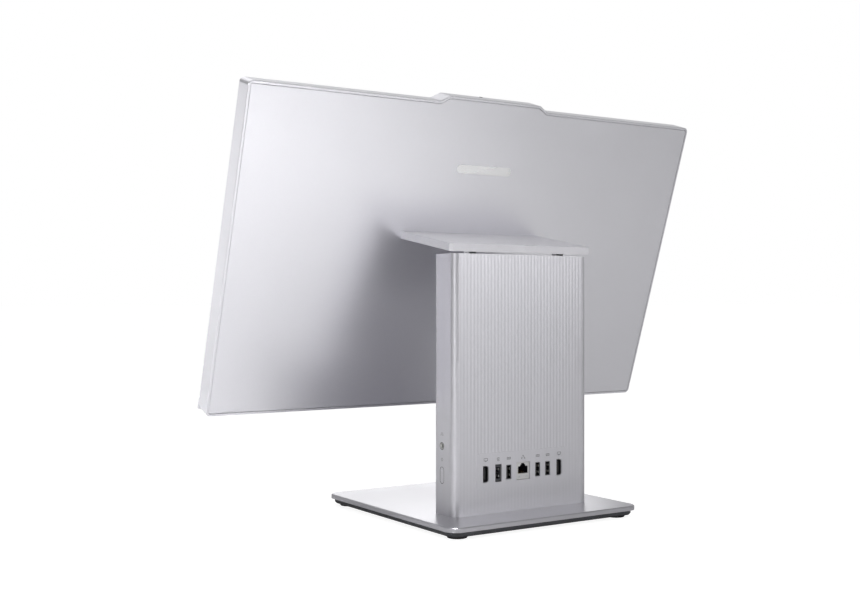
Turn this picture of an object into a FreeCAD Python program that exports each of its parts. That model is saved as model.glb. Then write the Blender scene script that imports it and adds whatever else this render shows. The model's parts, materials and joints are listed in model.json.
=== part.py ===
import FreeCAD, Part
import math
import os

# All-in-one desktop computer: a flat display that tilts on a slim, fluted column, and a flat base.
# Frame: +Z is up, the screen faces -Y, the sockets face +Y. The origin is the centre of the base's
# footprint, on the desk. Lengths are millimetres.

# Base
BASE_WIDTH = 226.0
BASE_DEPTH = 236.0
BASE_CORNER = 12.0
FOOT_HEIGHT = 2.5
UNDERTRAY_HEIGHT = 5.0
BASE_PLATE_HEIGHT = 4.5
FOOT_RADIUS = 9.5
FOOT_INSET = 17.0

# Column
COLUMN_WIDTH = 164.0
COLUMN_DEPTH = 32.0
COLUMN_HEIGHT = 249.0
COLUMN_CORNER = 7.0
COLUMN_WALL = 2.0
COLUMN_SETBACK = 43.0
FLUTE_PITCH = 4.0
FLUTE_SWING = 0.035
FLUTE_RELIEF = 0.1
SMOOTH_SIDE_TOP = 80.0

# Sockets, heights above the base's top face
SOCKET_HEIGHT = 38.2
VIDEO_OFFSETS = (45.0, -45.0)
DATA_OFFSETS = (17.5, -18.0, -30.5)
INLET_OFFSET = 30.0
JACK_HEIGHT = 65.7
BUTTON_HEIGHT = 37.8
BUTTON_WIDTH = 6.0
BUTTON_LENGTH = 15.5
BUTTON_TRAVEL = 0.8
JACK_BORE = 1.8
JACK_NOSE_RADIUS = 3.4

# Display
DISPLAY_WIDTH = 541.0
DISPLAY_HEIGHT = 322.0
DISPLAY_DEPTH = 20.0
DISPLAY_CORNER = 5.0
DISPLAY_TILT = 18.0
DISPLAY_FOOT_Y = -69.3
DISPLAY_FOOT_Z = 105.4
SCREEN_WIDTH = 527.0
SCREEN_HEIGHT = 296.5
SCREEN_BOTTOM = 18.5
BUMP_HEIGHT = 6.0
BUMP_HALF_TOP = 56.0
BUMP_HALF_FOOT = 67.0
BUMP_ROUND = 3.0
RIM = 2.5
SEAM = 0.3
CHIN_HEIGHT = 11.5
CHIN_PROUD = 2.2

# Hinge
HINGE_Y = 58.0
HINGE_DROP = 9.0
ARM_INNER = 50.0
ARM_THICKNESS = 8.0
ARM_WIDTH = 8.0
HUB_RADIUS = 7.0
PIN_RADIUS = 4.0
RUNNING_GAP = 0.05
TRAY_WIDTH = 172.0
TRAY_LENGTH = 87.4
TRAY_HEIGHT = 7.6
TRAY_TOP = 201.8
TRAY_PITCH = 8.0

# Fan
FAN_X = -40.0
FAN_Z = 184.0
FAN_RADIUS = 25.0
FAN_BLADES = 23
SHAFT_RADIUS = 1.5

# Derived places
BASE_TOP = FOOT_HEIGHT + UNDERTRAY_HEIGHT + BASE_PLATE_HEIGHT
COLUMN_REAR = BASE_DEPTH / 2 - COLUMN_SETBACK
COLUMN_FRONT = COLUMN_REAR - COLUMN_DEPTH
COLUMN_TOP = BASE_TOP + COLUMN_HEIGHT
HALF_COLUMN = COLUMN_WIDTH / 2
INNER_HALF = HALF_COLUMN - COLUMN_WALL
INNER_REAR = COLUMN_REAR - COLUMN_WALL
INNER_FRONT = COLUMN_FRONT + COLUMN_WALL
SOCKET_Z = BASE_TOP + SOCKET_HEIGHT
JACK_Z = BASE_TOP + JACK_HEIGHT
BUTTON_Z = BASE_TOP + BUTTON_HEIGHT
SIDE_Y = COLUMN_FRONT + 12.0
HINGE_Z = COLUMN_TOP - HINGE_DROP
BOARD_FRONT = COLUMN_FRONT + 7.0
BOARD_REAR = BOARD_FRONT + 1.6
HALF_DISPLAY = DISPLAY_WIDTH / 2

V = FreeCAD.Vector
AXIS_X = V(1, 0, 0)
AXIS_Y = V(0, 1, 0)
AXIS_Z = V(0, 0, 1)
SIDES = (1, -1)


# ---------------------------------------------------------------- helpers
def box(x0, x1, y0, y1, z0, z1):
    return Part.makeBox(x1 - x0, y1 - y0, z1 - z0, V(x0, y0, z0))


def rod(radius, start, length, axis):
    return Part.makeCylinder(radius, length, start, axis)


def ring(outer, inner, start, length, axis):
    return rod(outer, start, length, axis).cut(rod(inner, start, length, axis))


def fused(shapes):
    return shapes[0].fuse(shapes[1:]).removeSplitter()


def mirrored(shape):
    return shape.mirror(V(0, 0, 0), AXIS_X)


def both_sides(shape):
    return Part.makeCompound([shape, mirrored(shape)])


def edges_along(shape, axis, keep=lambda point: True):
    chosen = []
    for edge in shape.Edges:
        if edge.Curve.TypeId != "Part::GeomLine":
            continue
        if abs(abs(edge.tangentAt(edge.FirstParameter).dot(axis)) - 1) < 1e-6 and keep(edge.CenterOfMass):
            chosen.append(edge)
    return chosen


def rounded(shape, radius, axis, keep=lambda point: True):
    return shape.makeFillet(radius, edges_along(shape, axis, keep))


def rounded_plate(half_x, half_y, z0, z1, radius):
    return rounded(box(-half_x, half_x, -half_y, half_y, z0, z1), radius, AXIS_Z)


def pill(width, length, thickness):
    """A round-ended slot shape, long along Z and standing from X = 0 to its thickness."""
    reach = (length - width) / 2
    body = box(0, thickness, -width / 2, width / 2, -reach, reach)
    ends = [rod(width / 2, V(0, 0, side * reach), thickness, AXIS_X) for side in SIDES]
    return fused([body] + ends)


def pill_along_y(x, z, width, length, y0, y1):
    shape = pill(width, length, y1 - y0)
    shape.rotate(V(0, 0, 0), AXIS_Z, 90)
    shape.translate(V(x, y0, z))
    return shape


def pill_along_x(y, z, width, length, x0, x1):
    shape = pill(width, length, x1 - x0)
    shape.translate(V(x0, y, z))
    return shape


def screw(tip, axis, length, thread, head, head_height):
    """Pan-head machine screw: the axis runs from the tip to the head, with a round driver recess."""
    shank = rod(thread, tip, length, axis)
    cap = rod(head, tip + axis * length, head_height, axis)
    recess_share = 0.45
    floor = tip + axis * (length + head_height * recess_share)
    recess = rod(head * recess_share, floor, head_height, axis)
    return shank.fuse(cap).cut(recess)


# ---------------------------------------------------------------- base
def foot_places():
    reach_x = BASE_WIDTH / 2 - FOOT_INSET
    reach_y = BASE_DEPTH / 2 - FOOT_INSET
    return [(sx * reach_x, sy * reach_y) for sx in SIDES for sy in SIDES]


COLUMN_SCREW_RADIUS = 2.2
COLUMN_SCREW_GRIP = 2.9
COLUMN_SCREWS = [(x, COLUMN_REAR - 12.5) for x in (-60.0, -20.0, 20.0, 60.0)]
UNDERTRAY_SCREW_RADIUS = 1.4
UNDERTRAY_SCREW_LENGTH = 5.0
UNDERTRAY_SCREWS = [(sx * 98.0, y) for sx in SIDES for y in (-70.0, 20.0)]
UNDERTRAY_TOP = FOOT_HEIGHT + UNDERTRAY_HEIGHT
UNDERTRAY_INSET = 3.2
UNDERTRAY_FLOOR = 1.5
SCREW_SINK = 0.9
SCREW_CLEARANCE = 0.1
FOOT_SINK = 1.0
THROUGH = 20.0
NEAR = 0.01
BALLAST_HALF = 83.0
BALLAST_FRONT = -95.0
BALLAST_REAR = 35.0
BALLAST_CORNER = 5.5


def base_plate():
    plate = rounded_plate(BASE_WIDTH / 2, BASE_DEPTH / 2, UNDERTRAY_TOP, BASE_TOP, BASE_CORNER)
    edge_chamfer = 0.9
    thread_depth = 3.0
    rim = [e for e in plate.Edges if abs(e.CenterOfMass.z - BASE_TOP) < NEAR]
    plate = plate.makeChamfer(edge_chamfer, rim)
    hole_radius = COLUMN_SCREW_RADIUS + SCREW_CLEARANCE
    holes = [rod(hole_radius, V(x, y, 0), THROUGH, AXIS_Z) for x, y in COLUMN_SCREWS]
    for x, y in UNDERTRAY_SCREWS:
        place = V(x, y, UNDERTRAY_TOP)
        holes.append(rod(UNDERTRAY_SCREW_RADIUS + SCREW_CLEARANCE, place, thread_depth, AXIS_Z))
    return plate.cut(holes)


def base_undertray():
    corner = 10.0
    edge_chamfer = 1.6
    gap = 1.0
    column_screw_access = 5.0
    foot_gap = 0.15
    shank_gap = 0.3
    head_recess = 3.2
    half_x = BASE_WIDTH / 2 - UNDERTRAY_INSET
    half_y = BASE_DEPTH / 2 - UNDERTRAY_INSET
    tray = rounded_plate(half_x, half_y, FOOT_HEIGHT, UNDERTRAY_TOP, corner)
    lower = [e for e in tray.Edges if abs(e.CenterOfMass.z - FOOT_HEIGHT) < NEAR]
    tray = tray.makeChamfer(edge_chamfer, lower)
    pocket = box(-BALLAST_HALF - gap, BALLAST_HALF + gap, BALLAST_FRONT - gap, BALLAST_REAR + gap,
                 FOOT_HEIGHT + UNDERTRAY_FLOOR, UNDERTRAY_TOP)
    cuts = [rounded(pocket, BALLAST_CORNER + gap / 2, AXIS_Z)]
    foot_depth = FOOT_HEIGHT + FOOT_SINK
    cuts += [rod(FOOT_RADIUS + foot_gap, V(x, y, 0), foot_depth, AXIS_Z) for x, y in foot_places()]
    cuts += [rod(column_screw_access, V(x, y, 0), THROUGH, AXIS_Z) for x, y in COLUMN_SCREWS]
    for x, y in UNDERTRAY_SCREWS:
        cuts.append(rod(UNDERTRAY_SCREW_RADIUS + shank_gap, V(x, y, 0), THROUGH, AXIS_Z))
        cuts.append(rod(head_recess, V(x, y, 0), FOOT_HEIGHT + SCREW_SINK, AXIS_Z))
    return tray.cut(cuts)


def ballast_plate():
    play = 0.1
    plate = box(-BALLAST_HALF, BALLAST_HALF, BALLAST_FRONT, BALLAST_REAR,
                FOOT_HEIGHT + UNDERTRAY_FLOOR + play, UNDERTRAY_TOP - play)
    return rounded(plate, BALLAST_CORNER, AXIS_Z)


def rubber_feet():
    edge_round = 0.7
    feet = []
    for x, y in foot_places():
        foot = rod(FOOT_RADIUS, V(x, y, 0), FOOT_HEIGHT + FOOT_SINK, AXIS_Z)
        floor_edge = [e for e in foot.Edges if abs(e.CenterOfMass.z) < NEAR]
        feet.append(foot.makeFillet(edge_round, floor_edge))
    return Part.makeCompound(feet)


def base_screws():
    screws = []
    for x, y in UNDERTRAY_SCREWS:
        tip = V(x, y, FOOT_HEIGHT + SCREW_SINK + UNDERTRAY_SCREW_LENGTH)
        screws.append(screw(tip, AXIS_Z * -1, UNDERTRAY_SCREW_LENGTH, thread=UNDERTRAY_SCREW_RADIUS,
                            head=2.8, head_height=0.8))
    return Part.makeCompound(screws)


def column_screws():
    length = COLUMN_SCREW_GRIP + BASE_PLATE_HEIGHT
    screws = []
    for x, y in COLUMN_SCREWS:
        tip = V(x, y, BASE_TOP + COLUMN_SCREW_GRIP)
        screws.append(screw(tip, AXIS_Z * -1, length, thread=COLUMN_SCREW_RADIUS, head=4.2, head_height=2.4))
    return Part.makeCompound(screws)


# ---------------------------------------------------------------- column
PANEL_GAP = 0.2
SOCKET_PAD_HALF = 56.0
SOCKET_PAD_BELOW = 15.0
SOCKET_PAD_ABOVE = 20.0
SIDE_PAD_DEPTH = 1.2
DATA_OPENING = (6.1, 14.0)
VIDEO_OPENING = (6.6, 16.2)
INLET_OPENING = (7.5, 17.0)
NETWORK_OPENING = (16.2, 17.0)


def column_path():
    """Half-pitch stations along the wavy outer face: a point and its outward normal at each."""
    depth_in = FLUTE_RELIEF + FLUTE_SWING
    half = HALF_COLUMN - depth_in
    rear = COLUMN_REAR - depth_in
    radius = COLUMN_CORNER - depth_in
    start_y = INNER_FRONT + PANEL_GAP
    side = rear - radius - start_y
    turn = radius * math.pi / 2
    back = 2 * (half - radius)
    total = 2 * side + 2 * turn + back
    count = 2 * round(total / FLUTE_PITCH)

    def station(s):
        if s <= side:
            return V(half, start_y + s, 0), V(1, 0, 0)
        if s <= side + turn:
            angle = (s - side) / radius
            out = V(math.cos(angle), math.sin(angle), 0)
            return V(half - radius, rear - radius, 0) + out * radius, out
        return V(half - radius - (s - side - turn), rear, 0), V(0, 1, 0)

    def at(s):
        if s <= total / 2:
            return station(s)
        point, out = station(total - s)
        return V(-point.x, point.y, 0), V(-out.x, out.y, 0)

    return at, total, count


def fluted_outer_edges():
    at, total, count = column_path()
    step = total / count
    edges = []
    for k in range(count):
        start = at(k * step)[0]
        end = at((k + 1) * step)[0]
        middle, out = at((k + 0.5) * step)
        swing = FLUTE_SWING if k % 2 == 0 else -FLUTE_SWING
        edges.append(Part.Arc(start, middle + out * swing, end).toShape())
    return edges


def column_inner_edges(first, last):
    radius = COLUMN_CORNER - COLUMN_WALL
    diagonal = radius * math.sqrt(0.5)
    centre_x = INNER_HALF - radius
    centre_y = INNER_REAR - radius
    right = V(INNER_HALF, first.y, 0)
    left = V(-INNER_HALF, last.y, 0)
    edges = [Part.makeLine(first, right), Part.makeLine(right, V(INNER_HALF, centre_y, 0))]
    arc = Part.Arc(V(INNER_HALF, centre_y, 0), V(centre_x + diagonal, centre_y + diagonal, 0),
                   V(centre_x, INNER_REAR, 0))
    edges.append(arc.toShape())
    edges.append(Part.makeLine(V(centre_x, INNER_REAR, 0), V(-centre_x, INNER_REAR, 0)))
    arc = Part.Arc(V(-centre_x, INNER_REAR, 0), V(-centre_x - diagonal, centre_y + diagonal, 0),
                   V(-INNER_HALF, centre_y, 0))
    edges.append(arc.toShape())
    edges += [Part.makeLine(V(-INNER_HALF, centre_y, 0), left), Part.makeLine(left, last)]
    return edges


def d_profile(x, z, width, height, y0, y1, corner):
    """A block with the two corners on its -X side rounded."""
    block = box(x - width / 2, x + width / 2, y0, y1, z - height / 2, z + height / 2)
    return rounded(block, corner, AXIS_Y, lambda point: point.x < x)


def wall_opening(x, opening):
    width, height = opening
    return box(x - width / 2, x + width / 2, INNER_REAR - 2, COLUMN_REAR + 2,
               SOCKET_Z - height / 2, SOCKET_Z + height / 2)


def column_rear_shell():
    at, total = column_path()[:2]
    outer = fluted_outer_edges()
    inner = column_inner_edges(at(0)[0], at(total)[0])
    face = Part.Face(Part.Wire(Part.__sortEdges__(outer + inner)))
    face.translate(V(0, 0, BASE_TOP))
    shell = face.extrude(V(0, 0, COLUMN_HEIGHT))
    pad_corner = 4.0
    video_corner = 3.0
    button_gap = 0.3
    pad = box(-SOCKET_PAD_HALF, SOCKET_PAD_HALF, INNER_REAR + SIDE_PAD_DEPTH / 2, COLUMN_REAR,
              SOCKET_Z - SOCKET_PAD_BELOW, SOCKET_Z + SOCKET_PAD_ABOVE)
    side_pad = box(HALF_COLUMN - SIDE_PAD_DEPTH, HALF_COLUMN, INNER_FRONT + PANEL_GAP,
                   COLUMN_REAR - COLUMN_CORNER, BASE_TOP, BASE_TOP + SMOOTH_SIDE_TOP)
    shell = shell.fuse([rounded(pad, pad_corner, AXIS_Y), side_pad, mirrored(side_pad)])
    cuts = [d_profile(x, SOCKET_Z, *VIDEO_OPENING, INNER_REAR - 2, COLUMN_REAR + 2, video_corner)
            for x in VIDEO_OFFSETS]
    cuts += [wall_opening(x, DATA_OPENING) for x in DATA_OFFSETS]
    cuts += [wall_opening(INLET_OFFSET, INLET_OPENING), wall_opening(0, NETWORK_OPENING)]
    x0 = INNER_HALF - 2
    x1 = HALF_COLUMN + 2
    cuts.append(rod(JACK_NOSE_RADIUS + 0.2, V(x0, SIDE_Y, JACK_Z), x1 - x0, AXIS_X))
    cuts.append(pill_along_x(SIDE_Y, BUTTON_Z, BUTTON_WIDTH + 2 * button_gap, BUTTON_LENGTH + 2 * button_gap,
                             x0, x1))
    return shell.cut(cuts)


def column_front_panel():
    slot_width = 1.8
    slot_length = 28.0
    slot_pitch = 6.5
    slots_each_side = 10
    lower_slots = BASE_TOP + 48
    upper_slots = COLUMN_TOP - 56
    edge_round = 1.8
    tongue_depth = 0.8
    tongue_height = 10.0
    half = HALF_COLUMN - PANEL_GAP / 2
    panel = box(-half, half, COLUMN_FRONT, INNER_FRONT, BASE_TOP, COLUMN_TOP)
    panel = rounded(panel, edge_round, AXIS_Z, lambda point: point.y < COLUMN_FRONT + NEAR)
    tongue = box(-INNER_HALF + PANEL_GAP, INNER_HALF - PANEL_GAP, INNER_FRONT, INNER_FRONT + tongue_depth,
                 BASE_TOP + PANEL_GAP, BASE_TOP + tongue_height)
    panel = panel.fuse(tongue)
    slots = []
    for middle in (lower_slots, upper_slots):
        for k in range(-slots_each_side, slots_each_side + 1):
            slots.append(pill_along_y(k * slot_pitch, middle, slot_width, slot_length,
                                      COLUMN_FRONT - 1, INNER_FRONT + 1))
    return panel.cut(slots)


CAP_BOTTOM = COLUMN_TOP - 2.8
CAP_TOP = COLUMN_TOP - 0.4
SLOT_FRONT = HINGE_Y - 6.4
SLOT_REAR = HINGE_Y + 9.2


def column_top_cap():
    corner = 6.6
    arm_gap = 1.5
    vents_each_side = 9
    vent_pitch = 4.6
    vent_width = 2.0
    vent_length = 12.0
    half = INNER_HALF - PANEL_GAP
    cap = box(-half, half, INNER_FRONT + PANEL_GAP, INNER_REAR - PANEL_GAP, CAP_BOTTOM, CAP_TOP)
    cap = rounded(cap, corner, AXIS_Z, lambda point: point.y > HINGE_Y)
    cuts = []
    for side in SIDES:
        x0, x1 = sorted((side * (ARM_INNER - arm_gap), side * (ARM_INNER + ARM_THICKNESS + arm_gap)))
        cuts.append(box(x0, x1, SLOT_FRONT, SLOT_REAR, CAP_BOTTOM - 1, CAP_TOP + 1))
    for k in range(-vents_each_side, vents_each_side + 1):
        slot = pill(vent_width, vent_length, CAP_TOP - CAP_BOTTOM + 2)
        slot.rotate(V(0, 0, 0), AXIS_Y, -90)
        slot.rotate(V(0, 0, 0), AXIS_Z, 90)
        slot.translate(V(k * vent_pitch, HINGE_Y + 1, CAP_BOTTOM - 1))
        cuts.append(slot)
    return cap.cut(cuts)


CHASSIS_FRONT = INNER_FRONT + 1.2
SHEET = 1.0
CHASSIS_REAR = CHASSIS_FRONT + SHEET
CHASSIS_HALF = INNER_HALF - 4
CHASSIS_TOP = HINGE_Z - 18
BRACKET_SCREW_X = (-60.0, 60.0)
BRACKET_SCREW_Z = HINGE_Z - 27
BRACKET_SCREW_RADIUS = 1.5


def column_chassis():
    """Bent steel sheet: a foot bolted to the base, a wall behind the front panel and two side flanges."""
    foot_thickness = COLUMN_SCREW_GRIP + 0.1
    foot_corner = 6.5
    flange_depth = 3.0
    flange_drop = 30.0
    vent_columns = 5
    vent_rows = 6
    vent_radius = 2.6
    vent_pitch_x = 11.0
    vent_pitch_z = 9.5
    lowest_vents = CHASSIS_TOP - 76
    wall = box(-CHASSIS_HALF, CHASSIS_HALF, CHASSIS_FRONT, CHASSIS_REAR, BASE_TOP, CHASSIS_TOP)
    foot = box(-CHASSIS_HALF, CHASSIS_HALF, CHASSIS_FRONT, INNER_REAR - 3 * PANEL_GAP,
               BASE_TOP, BASE_TOP + foot_thickness)
    foot = rounded(foot, foot_corner, AXIS_Z, lambda point: point.y > HINGE_Y)
    flanges = []
    for side in SIDES:
        x0, x1 = sorted((side * (CHASSIS_HALF - SHEET), side * CHASSIS_HALF))
        flanges.append(box(x0, x1, CHASSIS_REAR, CHASSIS_REAR + flange_depth,
                           BASE_TOP + foot_thickness, CHASSIS_TOP - flange_drop))
    sheet = fused([wall, foot] + flanges)
    holes = [rod(COLUMN_SCREW_RADIUS, V(x, y, 0), THROUGH, AXIS_Z) for x, y in COLUMN_SCREWS]
    through = SHEET + 2
    holes += [rod(BRACKET_SCREW_RADIUS, V(x, CHASSIS_FRONT - 1, BRACKET_SCREW_Z), through, AXIS_Y)
              for x in BRACKET_SCREW_X]
    for column in range(-vent_columns, vent_columns + 1):
        for row in range(vent_rows):
            place = V(column * vent_pitch_x, CHASSIS_FRONT - 1, lowest_vents + row * vent_pitch_z)
            holes.append(rod(vent_radius, place, through, AXIS_Y))
    return sheet.cut(holes)


# ---------------------------------------------------------------- circuit board and what it carries
BOARD_HALF = 72.0
BOARD_CORNER = 2.0
BOARD_BOTTOM = BASE_TOP + 18
BOARD_TOP = BASE_TOP + 138
STANDOFFS = [(x, z) for x in (-67.0, 0.0, 67.0) for z in (BOARD_BOTTOM + 5, BOARD_TOP - 5)]
STANDOFF_SCREW_RADIUS = 1.2


def motherboard():
    board = box(-BOARD_HALF, BOARD_HALF, BOARD_FRONT, BOARD_REAR, BOARD_BOTTOM, BOARD_TOP)
    board = rounded(board, BOARD_CORNER, AXIS_Y)
    hole_radius = 1.6
    holes = [rod(hole_radius, V(x, BOARD_FRONT - 1, z), 4, AXIS_Y) for x, z in STANDOFFS]
    return board.cut(holes)


def board_standoffs():
    length = BOARD_FRONT - CHASSIS_REAR
    outer = 2.6
    inner = STANDOFF_SCREW_RADIUS + RUNNING_GAP
    places = [V(x, CHASSIS_REAR, z) for x, z in STANDOFFS]
    return Part.makeCompound([ring(outer, inner, place, length, AXIS_Y) for place in places])


CHIP_X = -26.0
CHIP_Z = BASE_TOP + 102
PLATE_FRONT = BOARD_REAR + 2.2
PLATE_REAR = PLATE_FRONT + 2.0


def chip_block(half_x, half_z, y0, y1):
    return box(CHIP_X - half_x, CHIP_X + half_x, y0, y1, CHIP_Z - half_z, CHIP_Z + half_z)


def processor():
    carrier_rear = BOARD_REAR + 1.2
    carrier = chip_block(19.0, 19.0, BOARD_REAR, carrier_rear)
    die = chip_block(12.0, 9.0, carrier_rear, PLATE_FRONT)
    return carrier.fuse(die)


def heat_plate():
    plate = rounded(chip_block(24.0, 23.0, PLATE_FRONT, PLATE_REAR), 4.0, AXIS_Y)
    hole_radius = 1.6
    places = [V(CHIP_X + sx * 20.0, PLATE_FRONT - 1, CHIP_Z + sz * 19.0) for sx in SIDES for sz in SIDES]
    return plate.cut([rod(hole_radius, place, 4, AXIS_Y) for place in places])


FIN_BOTTOM = FAN_Z + 34
FIN_TOP = FIN_BOTTOM + 14
FIN_LEFT = -72.0
FIN_RIGHT = -10.0


PIPE_REAR = PLATE_REAR + 2.4


def heat_pipe(low_z, high_z, right_x, left_low, left_high):
    """A flattened pipe bent into a U that opens towards -X."""
    width = 6.0
    bend = 9.0
    y0 = PLATE_REAR
    y1 = PIPE_REAR
    outer = box(left_high, right_x + width / 2, y0, y1, low_z - width / 2, high_z + width / 2)
    outer = rounded(outer, bend, AXIS_Y, lambda point: point.x > right_x)
    inner = box(left_high - 1, right_x - width / 2, y0, y1, low_z + width / 2, high_z - width / 2)
    inner = rounded(inner, bend - width, AXIS_Y, lambda point: point.x > left_high)
    trim = box(left_high - 1, left_low, y0 - 1, y1 + 1, low_z - width, low_z + width)
    return outer.cut([inner, trim])


def heat_pipes():
    chip_end = CHIP_X - 22
    fin_end = FIN_LEFT + 4
    inner = heat_pipe(CHIP_Z + 8, FIN_BOTTOM + 3.4, 1.0, chip_end, fin_end)
    outer = heat_pipe(CHIP_Z - 8, FIN_BOTTOM + 10.6, 9.0, chip_end, fin_end)
    return Part.makeCompound([inner, outer])


def heat_fins():
    fin_pitch = 2.2
    fin_thickness = 0.5
    foot = PIPE_REAR + 0.9
    base = box(FIN_LEFT, FIN_RIGHT, PIPE_REAR, foot, FIN_BOTTOM, FIN_TOP)
    fins = []
    for k in range(int((FIN_RIGHT - FIN_LEFT) / fin_pitch)):
        x = FIN_LEFT + k * fin_pitch
        fins.append(box(x, x + fin_thickness, foot, INNER_REAR - 0.8, FIN_BOTTOM, FIN_TOP))
    return base.fuse(fins)


FAN_FRONT = CHASSIS_REAR + 0.2
FAN_REAR = INNER_REAR - 1.6
FAN_HALF = FAN_RADIUS + 5.5
FAN_CORNER = 14.0
FAN_WALL = 1.2
FAN_INLET_RADIUS = 19.0


def fan_outline(inset, top, y0, y1):
    block = box(FAN_X - FAN_HALF + inset, FAN_X + FAN_HALF - inset, y0, y1, FAN_Z - FAN_HALF + inset, top)
    return rounded(block, FAN_CORNER - inset, AXIS_Y, lambda point: point.z < FAN_Z)


def fan_housing():
    """A scroll that is open at its top, towards the fins."""
    top = FAN_Z + FAN_HALF
    outer = fan_outline(0, top, FAN_FRONT, FAN_REAR - FAN_WALL)
    return outer.cut(fan_outline(1.4, top + 5, FAN_FRONT + FAN_WALL, FAN_REAR))


def fan_cover():
    cover = fan_outline(0, FAN_Z + FAN_HALF, FAN_REAR - FAN_WALL, FAN_REAR)
    return cover.cut(rod(FAN_INLET_RADIUS, V(FAN_X, FAN_FRONT, FAN_Z), THROUGH + 10, AXIS_Y))


STATOR_FRONT = FAN_FRONT + FAN_WALL
STATOR_LENGTH = 7.0
ROTOR_FRONT = STATOR_FRONT + 1.0
ROTOR_REAR = FAN_REAR - 2.4
HUB_OUTER = 10.4
HUB_INNER = 8.6


def fan_stator():
    place = V(FAN_X, STATOR_FRONT, FAN_Z)
    core = rod(3.4, place, STATOR_LENGTH, AXIS_Y)
    pole_count = 6
    pole_inner = 2.5
    pole_outer = 7.6
    pole_length = 4.5
    poles = []
    for k in range(pole_count):
        pole = box(-1.2, 1.2, 0, pole_length, pole_inner, pole_outer)
        pole.rotate(V(0, 0, 0), AXIS_Y, k * 360.0 / pole_count)
        pole.translate(V(FAN_X, STATOR_FRONT + 1.5, FAN_Z))
        poles.append(pole)
    bearing = rod(SHAFT_RADIUS + RUNNING_GAP, place, STATOR_LENGTH + 1, AXIS_Y)
    return fused([core] + poles).cut(bearing)


def fan_blade(angle):
    sweep = math.radians(16)
    inner = HUB_OUTER - 0.8
    middle = (inner + FAN_RADIUS) / 2
    points = []
    for radius, lead in ((inner, 0.0), (middle, sweep * 0.45), (FAN_RADIUS, sweep)):
        points.append(V(radius * math.cos(lead), 0, radius * math.sin(lead)))
    thickness = 0.35
    offset = V(0, 0, thickness)
    face = Part.Face(Part.Wire([
        Part.Arc(points[0] - offset, points[1] - offset, points[2] - offset).toShape(),
        Part.makeLine(points[2] - offset, points[2] + offset),
        Part.Arc(points[2] + offset, points[1] + offset, points[0] + offset).toShape(),
        Part.makeLine(points[0] + offset, points[0] - offset)]))
    blade = face.extrude(V(0, ROTOR_REAR - ROTOR_FRONT - 1.5, 0))
    blade.rotate(V(0, 0, 0), AXIS_Y, angle)
    blade.translate(V(FAN_X, ROTOR_FRONT + 0.75, FAN_Z))
    return blade


def fan_rotor():
    cup = rod(HUB_OUTER, V(FAN_X, ROTOR_FRONT, FAN_Z), ROTOR_REAR - ROTOR_FRONT, AXIS_Y)
    hollow = rod(HUB_INNER, V(FAN_X, ROTOR_FRONT - 1, FAN_Z), STATOR_LENGTH + 1.4, AXIS_Y)
    shaft = rod(SHAFT_RADIUS, V(FAN_X, ROTOR_FRONT - 0.6, FAN_Z), ROTOR_REAR - ROTOR_FRONT, AXIS_Y)
    blades = [fan_blade(k * 360.0 / FAN_BLADES) for k in range(FAN_BLADES)]
    return cup.cut(hollow).fuse([shaft] + blades)


MEMORY_EDGE = 36.1
MEMORY_END = 64.2
MEMORY_LOW = BASE_TOP + 56.2
MEMORY_HIGH = BASE_TOP + 123.8
STORAGE_EDGE = 10.0
STORAGE_END = -70.0
STORAGE_LOW = BASE_TOP + 54.0
STORAGE_HIGH = BASE_TOP + 76.0
WIRELESS_LEFT = 10.5
WIRELESS_RIGHT = 32.5
WIRELESS_LOW = BASE_TOP + 84.0
WIRELESS_HIGH = BASE_TOP + 114.0
MEMORY_FRONT = BOARD_REAR + 2.3
MEMORY_REAR = MEMORY_FRONT + 1.0
CARD_FRONT = BOARD_REAR + 1.2
CARD_REAR = CARD_FRONT + 0.8
CHIP_REAR = BOARD_REAR + 3.2


def memory_module():
    chip_count = 4
    chip_pitch = 16.0
    chip_length = 10.0
    card = box(MEMORY_EDGE, MEMORY_END, MEMORY_FRONT, MEMORY_REAR, MEMORY_LOW, MEMORY_HIGH)
    chips = []
    for k in range(chip_count):
        z = MEMORY_LOW + 3.8 + k * chip_pitch
        chips.append(box(43.0, 54.0, MEMORY_REAR, MEMORY_REAR + 1.0, z, z + chip_length))
    return card.fuse(chips)


def card_module(x0, x1, z0, z1, chip_spans):
    margin = 3.0
    card = box(x0, x1, CARD_FRONT, CARD_REAR, z0, z1)
    chips = [box(a, b, CARD_REAR, CHIP_REAR, z0 + margin, z1 - margin) for a, b in chip_spans]
    return card.fuse(chips)


def storage_drive():
    chip_spans = ((-62.0, -46.0), (-42.0, -26.0), (-20.0, -8.0))
    return card_module(STORAGE_END, STORAGE_EDGE, STORAGE_LOW, STORAGE_HIGH, chip_spans)


def wireless_card():
    shield = ((WIRELESS_LEFT + 3, WIRELESS_RIGHT - 3),)
    return card_module(WIRELESS_LEFT, WIRELESS_RIGHT, WIRELESS_LOW, WIRELESS_HIGH, shield)


def card_slots():
    """The memory slot grips its card on three sides; the two small cards butt against theirs."""
    wall = 1.2
    grip = 0.9
    play = 0.1
    depth = 3.0
    block = 4.0
    memory = box(MEMORY_EDGE - 2.6, MEMORY_EDGE + grip, BOARD_REAR, BOARD_REAR + block,
                 MEMORY_LOW - wall, MEMORY_HIGH + wall)
    groove = box(MEMORY_EDGE - play, MEMORY_EDGE + grip + 1, MEMORY_FRONT - play, MEMORY_REAR + 2 * play,
                 MEMORY_LOW - 2 * play, MEMORY_HIGH + 2 * play)
    storage = box(STORAGE_EDGE, STORAGE_EDGE + block, BOARD_REAR, BOARD_REAR + depth,
                  STORAGE_LOW - 1, STORAGE_HIGH + 1)
    wireless = box(WIRELESS_LEFT - 1, WIRELESS_RIGHT + 0.5, BOARD_REAR, BOARD_REAR + depth,
                   WIRELESS_HIGH, WIRELESS_HIGH + block)
    return Part.makeCompound([memory.cut(groove), storage, wireless])


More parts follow.
